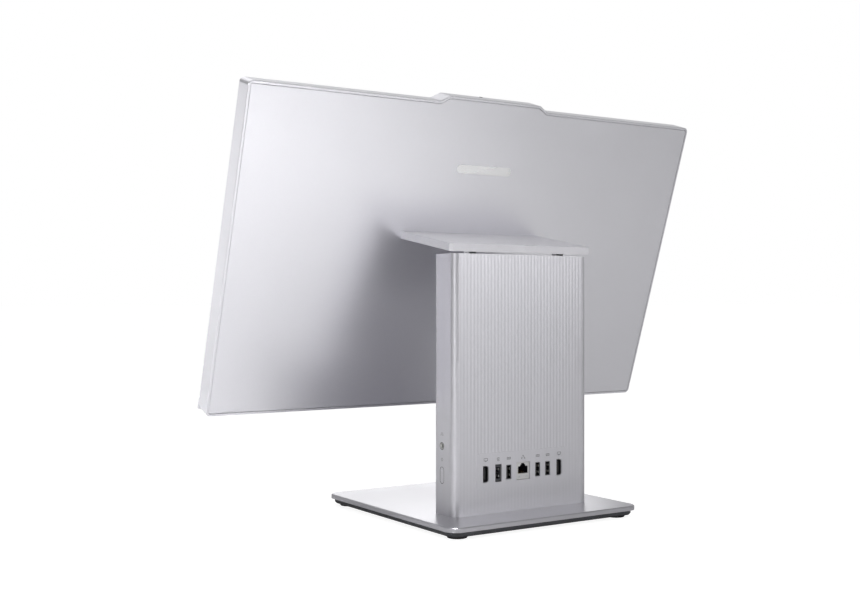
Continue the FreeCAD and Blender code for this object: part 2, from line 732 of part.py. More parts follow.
def clock_battery():
    x = -60.5
    z = BASE_TOP + 122
    cell_radius = 10.0
    cell_height = 3.2
    holder_height = 1.0
    holder = box(x - 8, x + 8, BOARD_REAR, BOARD_REAR + holder_height, z - 6, z + 6)
    return rod(cell_radius, V(x, BOARD_REAR + holder_height, z), cell_height, AXIS_Y).fuse(holder)


NOSE = COLUMN_REAR - 0.6
TONGUE_END = NOSE - 1.0
HOLLOW_DEPTH = 12.0
SOCKET_GAP = 0.3


def socket_block(x, width, height, y0, y1):
    return box(x - width / 2, x + width / 2, y0, y1, SOCKET_Z - height / 2, SOCKET_Z + height / 2)


def data_socket(x):
    width, height = DATA_OPENING
    sheet = 0.35
    tongue = 1.8
    shell = socket_block(x, width - SOCKET_GAP, height - 0.4, BOARD_REAR, NOSE)
    hollow = socket_block(x, width - SOCKET_GAP - 2 * sheet, height - 1.2, NOSE - HOLLOW_DEPTH, NOSE + 1)
    blade = socket_block(x + 1.1, tongue, height - 2.8, NOSE - HOLLOW_DEPTH, TONGUE_END)
    return shell.cut(hollow).fuse(blade)


def video_socket(x):
    width, height = VIDEO_OPENING
    sheet = 0.4
    shell = d_profile(x, SOCKET_Z, width - 2 * SOCKET_GAP, height - 2 * SOCKET_GAP, BOARD_REAR, NOSE, 2.4)
    hollow = d_profile(x, SOCKET_Z, width - 2 * (SOCKET_GAP + sheet), height - 2 * (SOCKET_GAP + sheet),
                       NOSE - HOLLOW_DEPTH, NOSE + 1, 2.0)
    blade = socket_block(x + 0.25, 1.5, 11.6, NOSE - HOLLOW_DEPTH, TONGUE_END)
    return shell.cut(hollow).fuse(blade)


def dc_inlet():
    width, height = INLET_OPENING
    mouth_width = 4.9
    mouth_height = 11.6
    mouth_corner = 0.8
    pin_radius = 0.6
    body = socket_block(INLET_OFFSET, width - SOCKET_GAP, height - 0.4, BOARD_REAR, NOSE)
    hollow = socket_block(INLET_OFFSET, mouth_width, mouth_height, NOSE - HOLLOW_DEPTH, NOSE + 1)
    pin = rod(pin_radius, V(INLET_OFFSET, NOSE - HOLLOW_DEPTH, SOCKET_Z), HOLLOW_DEPTH - 1.5, AXIS_Y)
    return body.cut(rounded(hollow, mouth_corner, AXIS_Y)).fuse(pin)


def network_socket():
    """The mouth has two latch steps above it: each step is (half width, bottom, top)."""
    width, height = NETWORK_OPENING
    depth = 13.0
    mouth = ((5.9, -2.6, 4.4), (3.1, 4.3, 6.0), (2.0, 5.9, 7.3))
    body = socket_block(0, width - SOCKET_GAP, height - SOCKET_GAP, BOARD_REAR, NOSE)
    hollow = [box(-half, half, NOSE - depth, NOSE + 1, SOCKET_Z + low, SOCKET_Z + high)
              for half, low, high in mouth]
    return body.cut(hollow)


JACK_NOSE = HALF_COLUMN - 0.35
JACK_DEPTH = 14.0
JACK_HALF = 4.0
JACK_LEAD = 0.9


def audio_jack():
    body_end = INNER_HALF - 0.3
    body = box(body_end - 15.2, body_end, BOARD_REAR + 0.1, SIDE_Y + JACK_HALF,
               JACK_Z - JACK_HALF, JACK_Z + JACK_HALF)
    nose_start = body_end - 0.1
    nose = rod(JACK_NOSE_RADIUS, V(nose_start, SIDE_Y, JACK_Z), JACK_NOSE - nose_start, AXIS_X)
    bore = rod(JACK_BORE, V(JACK_NOSE - JACK_DEPTH, SIDE_Y, JACK_Z), JACK_DEPTH + 1, AXIS_X)
    lead_in = Part.makeCone(JACK_BORE, JACK_BORE + JACK_LEAD, JACK_LEAD,
                            V(JACK_NOSE - JACK_LEAD, SIDE_Y, JACK_Z), AXIS_X)
    return body.fuse(nose).cut([bore, lead_in])


BUTTON_FACE = HALF_COLUMN + 0.1
BUTTON_FLANGE = INNER_HALF - 0.3
BUTTON_STEM = INNER_HALF - 3.5
SWITCH_TOP = BUTTON_STEM - BUTTON_TRAVEL - 0.15
SWITCH_HEIGHT = 1.6
DOME_HEIGHT = 0.6


def power_button():
    edge_round = 0.35
    flange_wider = 1.8
    flange_thickness = 0.8
    stem_radius = 1.4
    crown = pill_along_x(SIDE_Y, BUTTON_Z, BUTTON_WIDTH, BUTTON_LENGTH, BUTTON_FLANGE, BUTTON_FACE)
    outer = [e for e in crown.Edges if abs(e.CenterOfMass.x - BUTTON_FACE) < NEAR]
    crown = crown.makeFillet(edge_round, outer)
    flange = pill_along_x(SIDE_Y, BUTTON_Z, BUTTON_WIDTH + flange_wider, BUTTON_LENGTH + flange_wider,
                          BUTTON_FLANGE - flange_thickness, BUTTON_FLANGE)
    stem = rod(stem_radius, V(BUTTON_STEM, SIDE_Y, BUTTON_Z), BUTTON_FLANGE - BUTTON_STEM, AXIS_X)
    return fused([crown, flange, stem])


def button_board():
    dome_radius = 1.5
    switch_half = 3.0
    switch_base = SWITCH_TOP - DOME_HEIGHT - SWITCH_HEIGHT
    board = box(switch_base - 1.0, switch_base, SIDE_Y - 4.0, SIDE_Y + 6.5, BUTTON_Z - 9.0, BUTTON_Z + 9.0)
    switch = box(switch_base, switch_base + SWITCH_HEIGHT, SIDE_Y - switch_half, SIDE_Y + switch_half,
                 BUTTON_Z - switch_half, BUTTON_Z + switch_half)
    dome = rod(dome_radius, V(SWITCH_TOP - DOME_HEIGHT, SIDE_Y, BUTTON_Z), DOME_HEIGHT, AXIS_X)
    return fused([board, switch, dome])


def board_cable():
    """Flat ribbon from the circuit board up to just below the hinge."""
    middle = 52.0
    plug_half = 9.0
    ribbon_half = 6.0
    plug_low = BOARD_TOP - 11
    plug_high = BOARD_TOP - 6
    ribbon_end = HINGE_Z - 32
    plug = box(middle - plug_half, middle + plug_half, BOARD_REAR, BOARD_REAR + 2.2, plug_low, plug_high)
    run = box(middle - ribbon_half, middle + ribbon_half, BOARD_REAR + 0.2, BOARD_REAR + 0.7,
              plug_high, ribbon_end)
    return run.fuse(plug)


# ---------------------------------------------------------------- hinge
CHEEK = 2.2
WASHER = 0.7
SIDE_GAP = 0.1
ARM_OUTER = ARM_INNER + ARM_THICKNESS
INNER_CHEEK = ARM_INNER - 2 * SIDE_GAP - WASHER
OUTER_CHEEK = ARM_OUTER + 2 * SIDE_GAP + WASHER
TAB_REAR = CHASSIS_REAR + 2.2
EYE_RADIUS = 7.5
FLOOR_HIGH = HINGE_Z - 15
FLOOR_LOW = FLOOR_HIGH - 2.5
PIN_HEAD = 2.5
NUT_HEIGHT = 3.6


def cheek(x0):
    """An upright eye plate whose crown is cut flat, just under the top cap."""
    plate = box(x0, x0 + CHEEK, HINGE_Y - EYE_RADIUS, HINGE_Y + EYE_RADIUS, FLOOR_HIGH, HINGE_Z)
    eye = rod(EYE_RADIUS, V(x0, HINGE_Y, HINGE_Z), CHEEK, AXIS_X)
    crown = box(x0 - 1, x0 + CHEEK + 1, HINGE_Y - EYE_RADIUS - 1, HINGE_Y + EYE_RADIUS + 1,
                CAP_BOTTOM - 0.3, COLUMN_TOP)
    return fused([plate, eye]).cut(crown)


def hinge_bracket():
    half = 66.0
    tab_low = HINGE_Z - 35
    hole_radius = 1.6
    vent_half = 4.0
    vent_places = range(-36, 37, 12)
    floor = box(-half, half, CHASSIS_REAR, HINGE_Y + EYE_RADIUS, FLOOR_LOW, FLOOR_HIGH)
    tab = box(-half, half, CHASSIS_REAR, TAB_REAR, tab_low, FLOOR_LOW)
    cheeks = []
    for side in SIDES:
        for x in (INNER_CHEEK - CHEEK, OUTER_CHEEK):
            plate = cheek(x)
            cheeks.append(plate if side > 0 else mirrored(plate))
    bracket = fused([floor, tab] + cheeks)
    bores = rod(PIN_RADIUS, V(-HALF_COLUMN, HINGE_Y, HINGE_Z), COLUMN_WIDTH, AXIS_X)
    holes = [rod(hole_radius, V(x, CHASSIS_REAR - 1, BRACKET_SCREW_Z), 5, AXIS_Y) for x in BRACKET_SCREW_X]
    vents = [box(x - vent_half, x + vent_half, HINGE_Y - 2, HINGE_Y + 5, FLOOR_LOW - 1, FLOOR_HIGH + 1)
             for x in vent_places]
    return bracket.cut([bores] + holes + vents)


def chassis_screws():
    screws = []
    for x in BRACKET_SCREW_X:
        tip = V(x, CHASSIS_FRONT - 0.2, BRACKET_SCREW_Z)
        screws.append(screw(tip, AXIS_Y, TAB_REAR - tip.y, thread=BRACKET_SCREW_RADIUS, head=2.8,
                            head_height=1.4))
    for x, z in STANDOFFS:
        tip = V(x, CHASSIS_REAR + 0.4, z)
        screws.append(screw(tip, AXIS_Y, BOARD_REAR - tip.y, thread=STANDOFF_SCREW_RADIUS, head=2.4,
                            head_height=1.2))
    return Part.makeCompound(screws)


def hinge_pins():
    head_radius = 5.8
    start = INNER_CHEEK - CHEEK - PIN_HEAD
    length = OUTER_CHEEK + CHEEK + NUT_HEIGHT + 0.9 - start
    pin = rod(PIN_RADIUS, V(start, HINGE_Y, HINGE_Z), length, AXIS_X)
    head = rod(head_radius, V(start, HINGE_Y, HINGE_Z), PIN_HEAD, AXIS_X)
    return both_sides(pin.fuse(head))


def hinge_nuts():
    radius = 6.2
    corners = [V(OUTER_CHEEK + CHEEK, HINGE_Y + radius * math.cos(k * math.pi / 3),
                 HINGE_Z + radius * math.sin(k * math.pi / 3)) for k in range(7)]
    hexagon = Part.Face(Part.makePolygon(corners)).extrude(V(NUT_HEIGHT, 0, 0))
    bore = rod(PIN_RADIUS, V(OUTER_CHEEK, HINGE_Y, HINGE_Z), 12, AXIS_X)
    return both_sides(hexagon.cut(bore))


def friction_washers():
    outer = 6.6
    bore = PIN_RADIUS + 0.1
    washers = []
    for x in (ARM_INNER - SIDE_GAP - WASHER, ARM_OUTER + SIDE_GAP):
        washers.append(ring(outer, bore, V(x, HINGE_Y, HINGE_Z), WASHER, AXIS_X))
    return Part.makeCompound(washers + [mirrored(washer) for washer in washers])


# ---------------------------------------------------------------- display
# The display is drawn upright with its rear face on Y = 0 and its lower rear edge on Z = 0, then leaned.
TILT = math.radians(DISPLAY_TILT)
RISE_Y = HINGE_Y - DISPLAY_FOOT_Y
RISE_Z = HINGE_Z - DISPLAY_FOOT_Z
HUB_Y = RISE_Y * math.cos(TILT) - RISE_Z * math.sin(TILT)
HUB_Z = RISE_Y * math.sin(TILT) + RISE_Z * math.cos(TILT)
LEAN = FreeCAD.Placement(V(0, DISPLAY_FOOT_Y, DISPLAY_FOOT_Z), FreeCAD.Rotation(AXIS_X, -DISPLAY_TILT))
TRAY_BOTTOM = TRAY_TOP - TRAY_HEIGHT
HALF_TRAY = TRAY_WIDTH / 2
TRAY_FOOT = TRAY_TOP - TRAY_HEIGHT / 2 - TRAY_LENGTH * math.tan(math.radians(TRAY_PITCH))
FRONT = -DISPLAY_DEPTH
LCD_FRONT = FRONT + 1.3
GUIDE_FRONT = FRONT + 2.7
GUIDE_REAR = FRONT + 6.0
PAN_FRONT = FRONT + 6.1
PAN_REAR = FRONT + 6.9
LENS_FRONT = FRONT + 2.6
SPEAKER_SLOTS = 28
SPEAKER_SLOT_PITCH = 4.0
SPEAKER_SLOT_START = 124.0
CAMERA_Z = DISPLAY_HEIGHT - 1.4
MICROPHONE_X = 30.0
SHUTTER_TRAVEL = 7.0
NIB_X = 6.4
NIB_LENGTH = 3.0
NIB_FRONT = FRONT + 1.4
NIB_REAR = FRONT + 2.8
NIB_PROUD = 0.3
NIB_PLAY = 0.3
FRAME_WALL = 1.8
REBATE = 3.1
COVER_THICKNESS = 1.6
LEDGE_SHIFT = math.tan(math.atan2(BUMP_HEIGHT, BUMP_HALF_FOOT - BUMP_HALF_TOP) / 2)


def leaned(shape):
    placed = shape.copy()
    placed.transformShape(LEAN.toMatrix())
    return placed


def display_prism(inset, y0, y1, corner):
    """The display's outline with its camera bump, shrunk by inset, from depth y0 to y1."""
    half = HALF_DISPLAY - inset
    top = DISPLAY_HEIGHT - inset
    foot = BUMP_HALF_FOOT - inset * LEDGE_SHIFT
    crest = BUMP_HALF_TOP - inset * LEDGE_SHIFT
    right = [(half, inset), (half, top), (foot, top), (crest, top + BUMP_HEIGHT)]
    outline = right + [(-x, z) for x, z in reversed(right)]
    points = [V(x, y0, z) for x, z in outline + outline[:1]]
    prism = Part.Face(Part.makePolygon(points)).extrude(V(0, y1 - y0, 0))
    prism = rounded(prism, corner, AXIS_Y, lambda point: abs(point.x) > half - 1)
    return rounded(prism, BUMP_ROUND, AXIS_Y, lambda point: abs(point.x) < BUMP_HALF_FOOT + 1)


def display_frame():
    edge_chamfer = 0.5
    slot_half_width = 0.8
    slot_half_length = 3.0
    frame = display_prism(0, FRONT, 0, DISPLAY_CORNER)
    rear_rim = [e for e in frame.Edges if abs(e.CenterOfMass.y) < NEAR]
    frame = frame.makeChamfer(edge_chamfer, rear_rim)
    frame = frame.cut(display_prism(FRAME_WALL, FRONT - 1, 0.1 - REBATE, DISPLAY_CORNER - FRAME_WALL))
    frame = frame.cut(display_prism(RIM, -REBATE, 1, DISPLAY_CORNER - RIM))
    slots = []
    for side in SIDES:
        for k in range(SPEAKER_SLOTS):
            x = side * (SPEAKER_SLOT_START + k * SPEAKER_SLOT_PITCH)
            slots.append(box(x - slot_half_width, x + slot_half_width, FRONT / 2 - slot_half_length,
                             FRONT / 2 + slot_half_length, -1, FRAME_WALL + 1))
    top = DISPLAY_HEIGHT + BUMP_HEIGHT
    nib_slot = box(NIB_X - SHUTTER_TRAVEL - NIB_PLAY, NIB_X + NIB_LENGTH + NIB_PLAY,
                   NIB_FRONT - NIB_PLAY, NIB_REAR + NIB_PLAY, top - 4, top + 1)
    return frame.cut(slots + [nib_slot])


REAR_INSET = RIM + SEAM
PASSAGE_HALF = 71.0
BADGE_Z = 256.5
BADGE_LENGTH = 68.0
BADGE_WIDTH = 9.0
BADGE_DEPTH = 0.7
BADGE_PROUD = 0.3


def badge_outline(grow, y0, y1):
    reach = (BADGE_LENGTH - BADGE_WIDTH) / 2
    radius = BADGE_WIDTH / 2 + grow
    body = box(-reach, reach, y0, y1, BADGE_Z - radius, BADGE_Z + radius)
    ends = [rod(radius, V(side * reach, y0, BADGE_Z), y1 - y0, AXIS_Y) for side in SIDES]
    return fused([body] + ends)


def rear_cover():
    """A plate with a skirt that clips inside the frame, and an opening for the tilt bracket."""
    edge_chamfer = 0.25
    skirt_depth = 5.5
    skirt_gap = 0.2
    skirt_wall = 1.4
    skirt_inner_corner = 0.8
    passage_half_height = 3.2
    corner = DISPLAY_CORNER - REAR_INSET
    cover = display_prism(REAR_INSET, -COVER_THICKNESS, 0, corner)
    edge = [e for e in cover.Edges if abs(e.CenterOfMass.y) < NEAR]
    cover = cover.makeChamfer(edge_chamfer, edge)
    skirt = display_prism(REAR_INSET + skirt_gap, -skirt_depth, -COVER_THICKNESS, corner)
    skirt = skirt.cut(display_prism(REAR_INSET + skirt_gap + skirt_wall, -skirt_depth - 1,
                                    0.1 - COVER_THICKNESS, skirt_inner_corner))
    cover = cover.fuse(skirt)
    passage = box(-PASSAGE_HALF, PASSAGE_HALF, -3, 1,
                  TRAY_FOOT - passage_half_height, TRAY_FOOT + passage_half_height)
    return cover.cut([passage, badge_outline(0.1, -BADGE_DEPTH, 1)])


def badge_inlay():
    edge_round = 0.25
    inlay = badge_outline(0, -BADGE_DEPTH, BADGE_PROUD)
    rim = [e for e in inlay.Edges if abs(e.CenterOfMass.y - BADGE_PROUD) < NEAR]
    return inlay.makeFillet(edge_round, rim)


FLANGE_FRONT = PAN_REAR + 2.1
FLANGE_REAR = FLANGE_FRONT + 1.8
FLANGE_SCREWS = [(sx * 62.0, z) for sx in SIDES for z in (160.0, 232.0)]
FLANGE_HOLE_RADIUS = 1.7


def panel_pan():
    """Steel pan that carries the panel stack and takes the tilt bracket."""
    half = 266.5
    rib_half = 220.0
    rib_height = 6.0
    rib_depth = 1.2
    pan = box(-half, half, PAN_FRONT, PAN_REAR, 15.5, 317.5)
    ribs = []
    for z in (60.0, 290.0):
        ribs.append(box(-rib_half, rib_half, PAN_REAR, PAN_REAR + rib_depth, z, z + rib_height))
    pan = pan.fuse(ribs)
    holes = [rod(FLANGE_HOLE_RADIUS, V(x, PAN_FRONT - 1, z), 4, AXIS_Y) for x, z in FLANGE_SCREWS]
    return pan.cut(holes)


def flange_screws():
    screws = []
    for x, z in FLANGE_SCREWS:
        tip = V(x, PAN_FRONT + 0.1, z)
        screws.append(screw(tip, AXIS_Y, FLANGE_REAR - tip.y, thread=1.6, head=3.0, head_height=1.3))
    return Part.makeCompound(screws)


def layer(half_x, y0, y1, z0, z1, corner=1.0):
    return rounded(box(-half_x, half_x, y0, y1, z0, z1), corner, AXIS_Y)


def backlight():
    """Light guide with its strip of lamps along the lower edge."""
    strip_half = 262.0
    strip_depth = 1.9
    guide = layer(265.0, GUIDE_FRONT, GUIDE_REAR, 17.0, 316.5)
    strip = box(-strip_half, strip_half, GUIDE_FRONT, GUIDE_FRONT + strip_depth, 14.0, 16.8)
    return Part.makeCompound([guide, strip])


def lcd_panel():
    return layer(266.0, LCD_FRONT, GUIDE_FRONT - 0.1, 16.5, 317.0)


def screen_bezel():
    inset = FRAME_WALL + 0.1
    outer = display_prism(inset, FRONT + 0.2, LCD_FRONT - 0.1, DISPLAY_CORNER - inset)
    window = box(-SCREEN_WIDTH / 2, SCREEN_WIDTH / 2, FRONT - 1, LCD_FRONT + 1,
                 SCREEN_BOTTOM, SCREEN_BOTTOM + SCREEN_HEIGHT)
    lens_hole = rod(3.2, V(0, FRONT - 1, CAMERA_Z), 4, AXIS_Y)
    holes = [rod(0.7, V(side * MICROPHONE_X, FRONT - 1, CAMERA_Z), 4, AXIS_Y) for side in SIDES]
    return outer.cut([window, lens_hole] + holes)


def chin_bar():
    bar = box(-HALF_DISPLAY, HALF_DISPLAY, FRONT - CHIN_PROUD, FRONT, 0, CHIN_HEIGHT)
    long_round = 1.5
    end_round = 1.2
    bar = rounded(bar, long_round, AXIS_X, lambda point: point.y < FRONT - 1)
    return rounded(bar, end_round, AXIS_Z, lambda point: point.y < FRONT - 1)


DRIVER_LOW = 22.0
DRIVER_HIGH = 50.0
CABLE_HALF = 9.0
FLANGE_LOW = 150.0
FLANGE_HIGH = 242.0


def driver_board():
    half = 95.0
    chip_half = 6.0
    chip_places = (-70.0, -35.0, 0.0, 35.0, 70.0)
    board_rear = PAN_REAR + 1.1
    board = box(-half, half, PAN_REAR + 0.1, board_rear, DRIVER_LOW, DRIVER_HIGH)
    middle = (DRIVER_LOW + DRIVER_HIGH) / 2
    chips = [box(x - chip_half, x + chip_half, board_rear, board_rear + 1.1,
                 middle - chip_half, middle + chip_half) for x in chip_places]
    return board.fuse(chips)


def panel_cable():
    y0 = PAN_REAR + 1.4
    return box(-CABLE_HALF, CABLE_HALF, y0, y0 + 0.5, DRIVER_HIGH + 0.5, FLANGE_LOW - 1)


def speakers():
    middle = 180.0
    half = 58.0
    low = 5.0
    high = 25.0
    rear = -COVER_THICKNESS - 0.3
    case = rounded(box(middle - half, middle + half, PAN_REAR + 0.2, rear, low, high), 3.0, AXIS_Y)
    cone = Part.makeCone(8.0, 5.5, 1.6, V(middle, rear, (low + high) / 2), AXIS_Y * -1)
    return both_sides(case.cut(cone))


def microphones():
    capsule = box(MICROPHONE_X - 2.0, MICROPHONE_X + 2.0, LCD_FRONT, LCD_FRONT + 1.2,
                  CAMERA_Z - 1.5, CAMERA_Z + 1.5)
    return both_sides(capsule)


def camera_module():
    barrel_length = 2.6
    barrel_radius = 2.6
    case_front = LENS_FRONT + barrel_length
    case = box(-5.0, 5.0, case_front, case_front + 4.0, CAMERA_Z - 2.8, CAMERA_Z + 3.6)
    barrel = rod(barrel_radius, V(0, LENS_FRONT, CAMERA_Z), case_front - LENS_FRONT, AXIS_Y)
    aperture = Part.makeCone(2.0, 0.8, 1.0, V(0, LENS_FRONT, CAMERA_Z), AXIS_Y)
    return case.fuse(barrel).cut(aperture)


def camera_shutter():
    """A thin blade behind the bezel; its nib stands through the slot in the frame's top edge."""
    reach = 3.0
    thickness = 0.7
    half_height = 2.9
    blade = box(NIB_X - reach, NIB_X + NIB_LENGTH + reach, NIB_FRONT, NIB_FRONT + thickness,
                CAMERA_Z - half_height, CAMERA_Z + half_height)
    nib = box(NIB_X, NIB_X + NIB_LENGTH, NIB_FRONT, NIB_REAR, CAMERA_Z + half_height - 0.15,
              DISPLAY_HEIGHT + BUMP_HEIGHT + NIB_PROUD)
    return fused([blade, nib])


def antennas():
    thickness = 0.8
    return both_sides(box(100.0, 132.0, PAN_REAR, PAN_REAR + thickness, 306.0, 314.0))


# ---------------------------------------------------------------- hinge cover and tilt bracket
def pitched(shape, front):
    """Turns a shape about the hinge cover's rear edge, front end down, and trims it at a depth."""
    shape.rotate(V(0, TRAY_LENGTH, TRAY_TOP), AXIS_X, TRAY_PITCH)
    return shape.cut(box(-HALF_TRAY - 1, HALF_TRAY + 1, front - 60, front, TRAY_TOP - 60, TRAY_TOP + 20))


TRAY_START = -12.0
TRAY_WALL = 2.0


def tray_top_cover():
    outer_chamfer = 2.4
    inner_chamfer = 1.6
    rim_round = 0.5
    cover = box(-HALF_TRAY, HALF_TRAY, TRAY_START, TRAY_LENGTH, TRAY_BOTTOM, TRAY_TOP)
    cover = cover.makeChamfer(outer_chamfer, edges_along(cover, AXIS_Z, lambda point: point.y > 1))
    top_rim = [e for e in cover.Edges if abs(e.CenterOfMass.z - TRAY_TOP) < NEAR and e.CenterOfMass.y > 1]
    cover = cover.makeFillet(rim_round, top_rim)
    hollow = box(-HALF_TRAY + TRAY_WALL, HALF_TRAY - TRAY_WALL, TRAY_START - 1, TRAY_LENGTH - TRAY_WALL,
                 TRAY_BOTTOM - 1, TRAY_TOP - TRAY_WALL)
    hollow = hollow.makeChamfer(inner_chamfer, edges_along(hollow, AXIS_Z, lambda point: point.y > 1))
    return pitched(cover.cut(hollow), 0.15)


def tray_under_cover():
    margin = TRAY_WALL + 0.3
    corner_chamfer = 1.6
    slot_gap = 0.6
    slot_half = ARM_WIDTH / 2 + 0.8
    plate = box(-HALF_TRAY + margin, HALF_TRAY - margin, TRAY_START, TRAY_LENGTH - margin,
                TRAY_BOTTOM + 0.2, TRAY_BOTTOM + 1.4)
    plate = plate.makeChamfer(corner_chamfer, edges_along(plate, AXIS_Z, lambda point: point.y > 1))
    slot = box(ARM_INNER - slot_gap, ARM_OUTER + slot_gap, HUB_Y - slot_half, HUB_Y + slot_half,
               TRAY_BOTTOM - 6, TRAY_BOTTOM + 3)
    return pitched(plate, 0.3).cut([slot, mirrored(slot)])


PLATE_LOW = TRAY_BOTTOM + 2.0
PLATE_HIGH = PLATE_LOW + 2.8
PLATE_HALF = 70.0
ARM_TOP = PLATE_LOW + 1.4 - (TRAY_LENGTH - HUB_Y) * math.tan(math.radians(TRAY_PITCH))


def tilt_bracket():
    """Bolted to the panel pan, it runs back inside the hinge cover and down to the two hinge eyes."""
    window_half = 12.0
    corner = 5.0
    pad = 6.0
    plate = box(-PLATE_HALF, PLATE_HALF, FLANGE_FRONT - 8, HUB_Y + 5, PLATE_LOW, PLATE_HIGH)
    windows = []
    for x in (-48.0, -16.0, 16.0, 48.0):
        window = box(x - window_half, x + window_half, 12.0, HUB_Y - 14, PLATE_LOW - 1, PLATE_HIGH + 1)
        windows.append(rounded(window, corner, AXIS_Z))
    plate = pitched(plate.cut(windows), FLANGE_FRONT)
    flange = box(-PLATE_HALF, PLATE_HALF, FLANGE_FRONT, FLANGE_REAR, FLANGE_LOW, FLANGE_HIGH)
    flange = rounded(flange, corner, AXIS_Y)
    pads = [box(x - pad, x + pad, PAN_REAR, FLANGE_FRONT, z - pad, z + pad) for x, z in FLANGE_SCREWS]
    arm = box(ARM_INNER, ARM_OUTER, HUB_Y - ARM_WIDTH / 2, HUB_Y + ARM_WIDTH / 2, HUB_Z, ARM_TOP)
    arm = arm.fuse(rod(HUB_RADIUS, V(ARM_INNER, HUB_Y, HUB_Z), ARM_THICKNESS, AXIS_X))
    bracket = fused([plate, flange, arm, mirrored(arm)] + pads)
    cuts = [rod(PIN_RADIUS + RUNNING_GAP, V(-HALF_TRAY, HUB_Y, HUB_Z), TRAY_WIDTH, AXIS_X)]
    cuts += [rod(FLANGE_HOLE_RADIUS, V(x, PAN_FRONT, z), 6, AXIS_Y) for x, z in FLANGE_SCREWS]
    return bracket.cut(cuts)


# ---------------------------------------------------------------- the sub-parts and their files
STAND = {
    "base_plate": base_plate,
    "base_undertray": base_undertray,
    "ballast_plate": ballast_plate,
    "rubber_feet": rubber_feet,
    "base_screws": base_screws,
    "column_screws": column_screws,
    "column_rear_shell": column_rear_shell,
    "column_front_panel": column_front_panel,
    "column_top_cap": column_top_cap,
    "column_chassis": column_chassis,
    "motherboard": motherboard,
    "board_standoffs": board_standoffs,
    "chassis_screws": chassis_screws,
    "processor": processor,
    "heat_plate": heat_plate,
    "heat_pipes": heat_pipes,
    "heat_fins": heat_fins,
    "fan_housing": fan_housing,
    "fan_cover": fan_cover,
    "fan_stator": fan_stator,
    "fan_rotor": fan_rotor,
    "memory_module": memory_module,
    "storage_drive": storage_drive,
    "wireless_card": wireless_card,
    "card_slots": card_slots,
    "clock_battery": clock_battery,
    "dc_inlet": dc_inlet,
    "network_socket": network_socket,
    "audio_jack": audio_jack,
    "power_button": power_button,
    "button_board": button_board,
    "board_cable": board_cable,
    "hinge_bracket": hinge_bracket,
    "hinge_pins": hinge_pins,
    "hinge_nuts": hinge_nuts,
    "friction_washers": friction_washers,
}

DISPLAY = {
    "display_frame": display_frame,
    "rear_cover": rear_cover,
    "badge_inlay": badge_inlay,
    "panel_pan": panel_pan,
    "backlight": backlight,
    "lcd_panel": lcd_panel,
    "screen_bezel": screen_bezel,
    "chin_bar": chin_bar,
    "driver_board": driver_board,
    "panel_cable": panel_cable,
    "speakers": speakers,
    "microphones": microphones,
    "camera_module": camera_module,
    "camera_shutter": camera_shutter,
    "antennas": antennas,
    "tray_top_cover": tray_top_cover,
    "tray_under_cover": tray_under_cover,
    "tilt_bracket": tilt_bracket,
    "flange_screws": flange_screws,
}


def all_parts():
    parts = {name: make() for name, make in STAND.items()}
    for index, x in enumerate(DATA_OFFSETS, start=1):
        parts["data_socket_%d" % index] = data_socket(x)
    for letter, x in zip("ab", VIDEO_OFFSETS):
        parts["video_socket_" + letter] = video_socket(x)
    for name, make in DISPLAY.items():
        parts[name] = leaned(make())
    return parts


os.makedirs("parts", exist_ok=True)
for name, shape in all_parts().items():
    shape.exportStep("parts/%s.step" % name)
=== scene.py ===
import json
import math

import bmesh
import bpy
import numpy as np
from mathutils import Matrix, Vector


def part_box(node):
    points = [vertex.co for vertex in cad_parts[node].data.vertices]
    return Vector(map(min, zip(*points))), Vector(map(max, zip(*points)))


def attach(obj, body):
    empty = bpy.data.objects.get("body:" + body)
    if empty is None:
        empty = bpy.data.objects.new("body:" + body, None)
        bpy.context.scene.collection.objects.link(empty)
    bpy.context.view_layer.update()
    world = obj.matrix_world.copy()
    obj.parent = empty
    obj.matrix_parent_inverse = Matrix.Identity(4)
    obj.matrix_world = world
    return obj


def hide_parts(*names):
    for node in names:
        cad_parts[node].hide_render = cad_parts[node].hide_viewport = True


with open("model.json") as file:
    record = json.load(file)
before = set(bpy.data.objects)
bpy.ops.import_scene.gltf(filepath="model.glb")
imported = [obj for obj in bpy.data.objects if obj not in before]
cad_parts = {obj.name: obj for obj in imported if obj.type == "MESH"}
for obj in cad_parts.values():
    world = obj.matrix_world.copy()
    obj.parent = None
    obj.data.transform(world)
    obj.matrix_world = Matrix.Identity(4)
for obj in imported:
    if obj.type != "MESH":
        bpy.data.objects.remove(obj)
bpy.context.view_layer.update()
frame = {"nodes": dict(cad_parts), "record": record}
NODES = frame["nodes"]
MM = 0.001
MICRON = 0.000001


# ---------------------------------------------------------------- places worked out from the frame
SIDE = Vector((1, 0, 0))
REARWARD = Vector((0, 1, 0))
UPRIGHT = Vector((0, 0, 1))
LEAN = math.radians(18.0)
# Up along the leaning display, and straight out of its rear face.
UP = Vector((0, math.sin(LEAN), math.cos(LEAN)))
BACK = Vector((0, math.cos(LEAN), -math.sin(LEAN)))


def coordinates(node):
    return np.array([v.co for v in NODES[node].data.vertices], float)


def span(node, direction):
    """How far a node reaches along a direction, in metres: (least, most)."""
    along = coordinates(node) @ np.array(direction)
    return along.min(), along.max()


def facing(origin, right, up):
    """A frame whose X is right, Y is up and Z is out of the surface."""
    out = right.cross(up)
    return Matrix.Translation(origin) @ Matrix((
        (right.x, up.x, out.x, 0), (right.y, up.y, out.y, 0), (right.z, up.z, out.z, 0), (0, 0, 0, 1)))


DISPLAY_LOW = span("display_frame", UP)[0]
DISPLAY_FRONT, DISPLAY_REAR = span("display_frame", BACK)
COLUMN_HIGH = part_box("column_rear_shell")[1]
PANEL_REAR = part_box("column_front_panel")[1].y
BASE_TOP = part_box("base_plate")[1].z
UNDERTRAY_LOW, UNDERTRAY_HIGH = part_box("base_undertray")


def centre(node):
    low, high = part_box(node)
    return (low + high) / 2


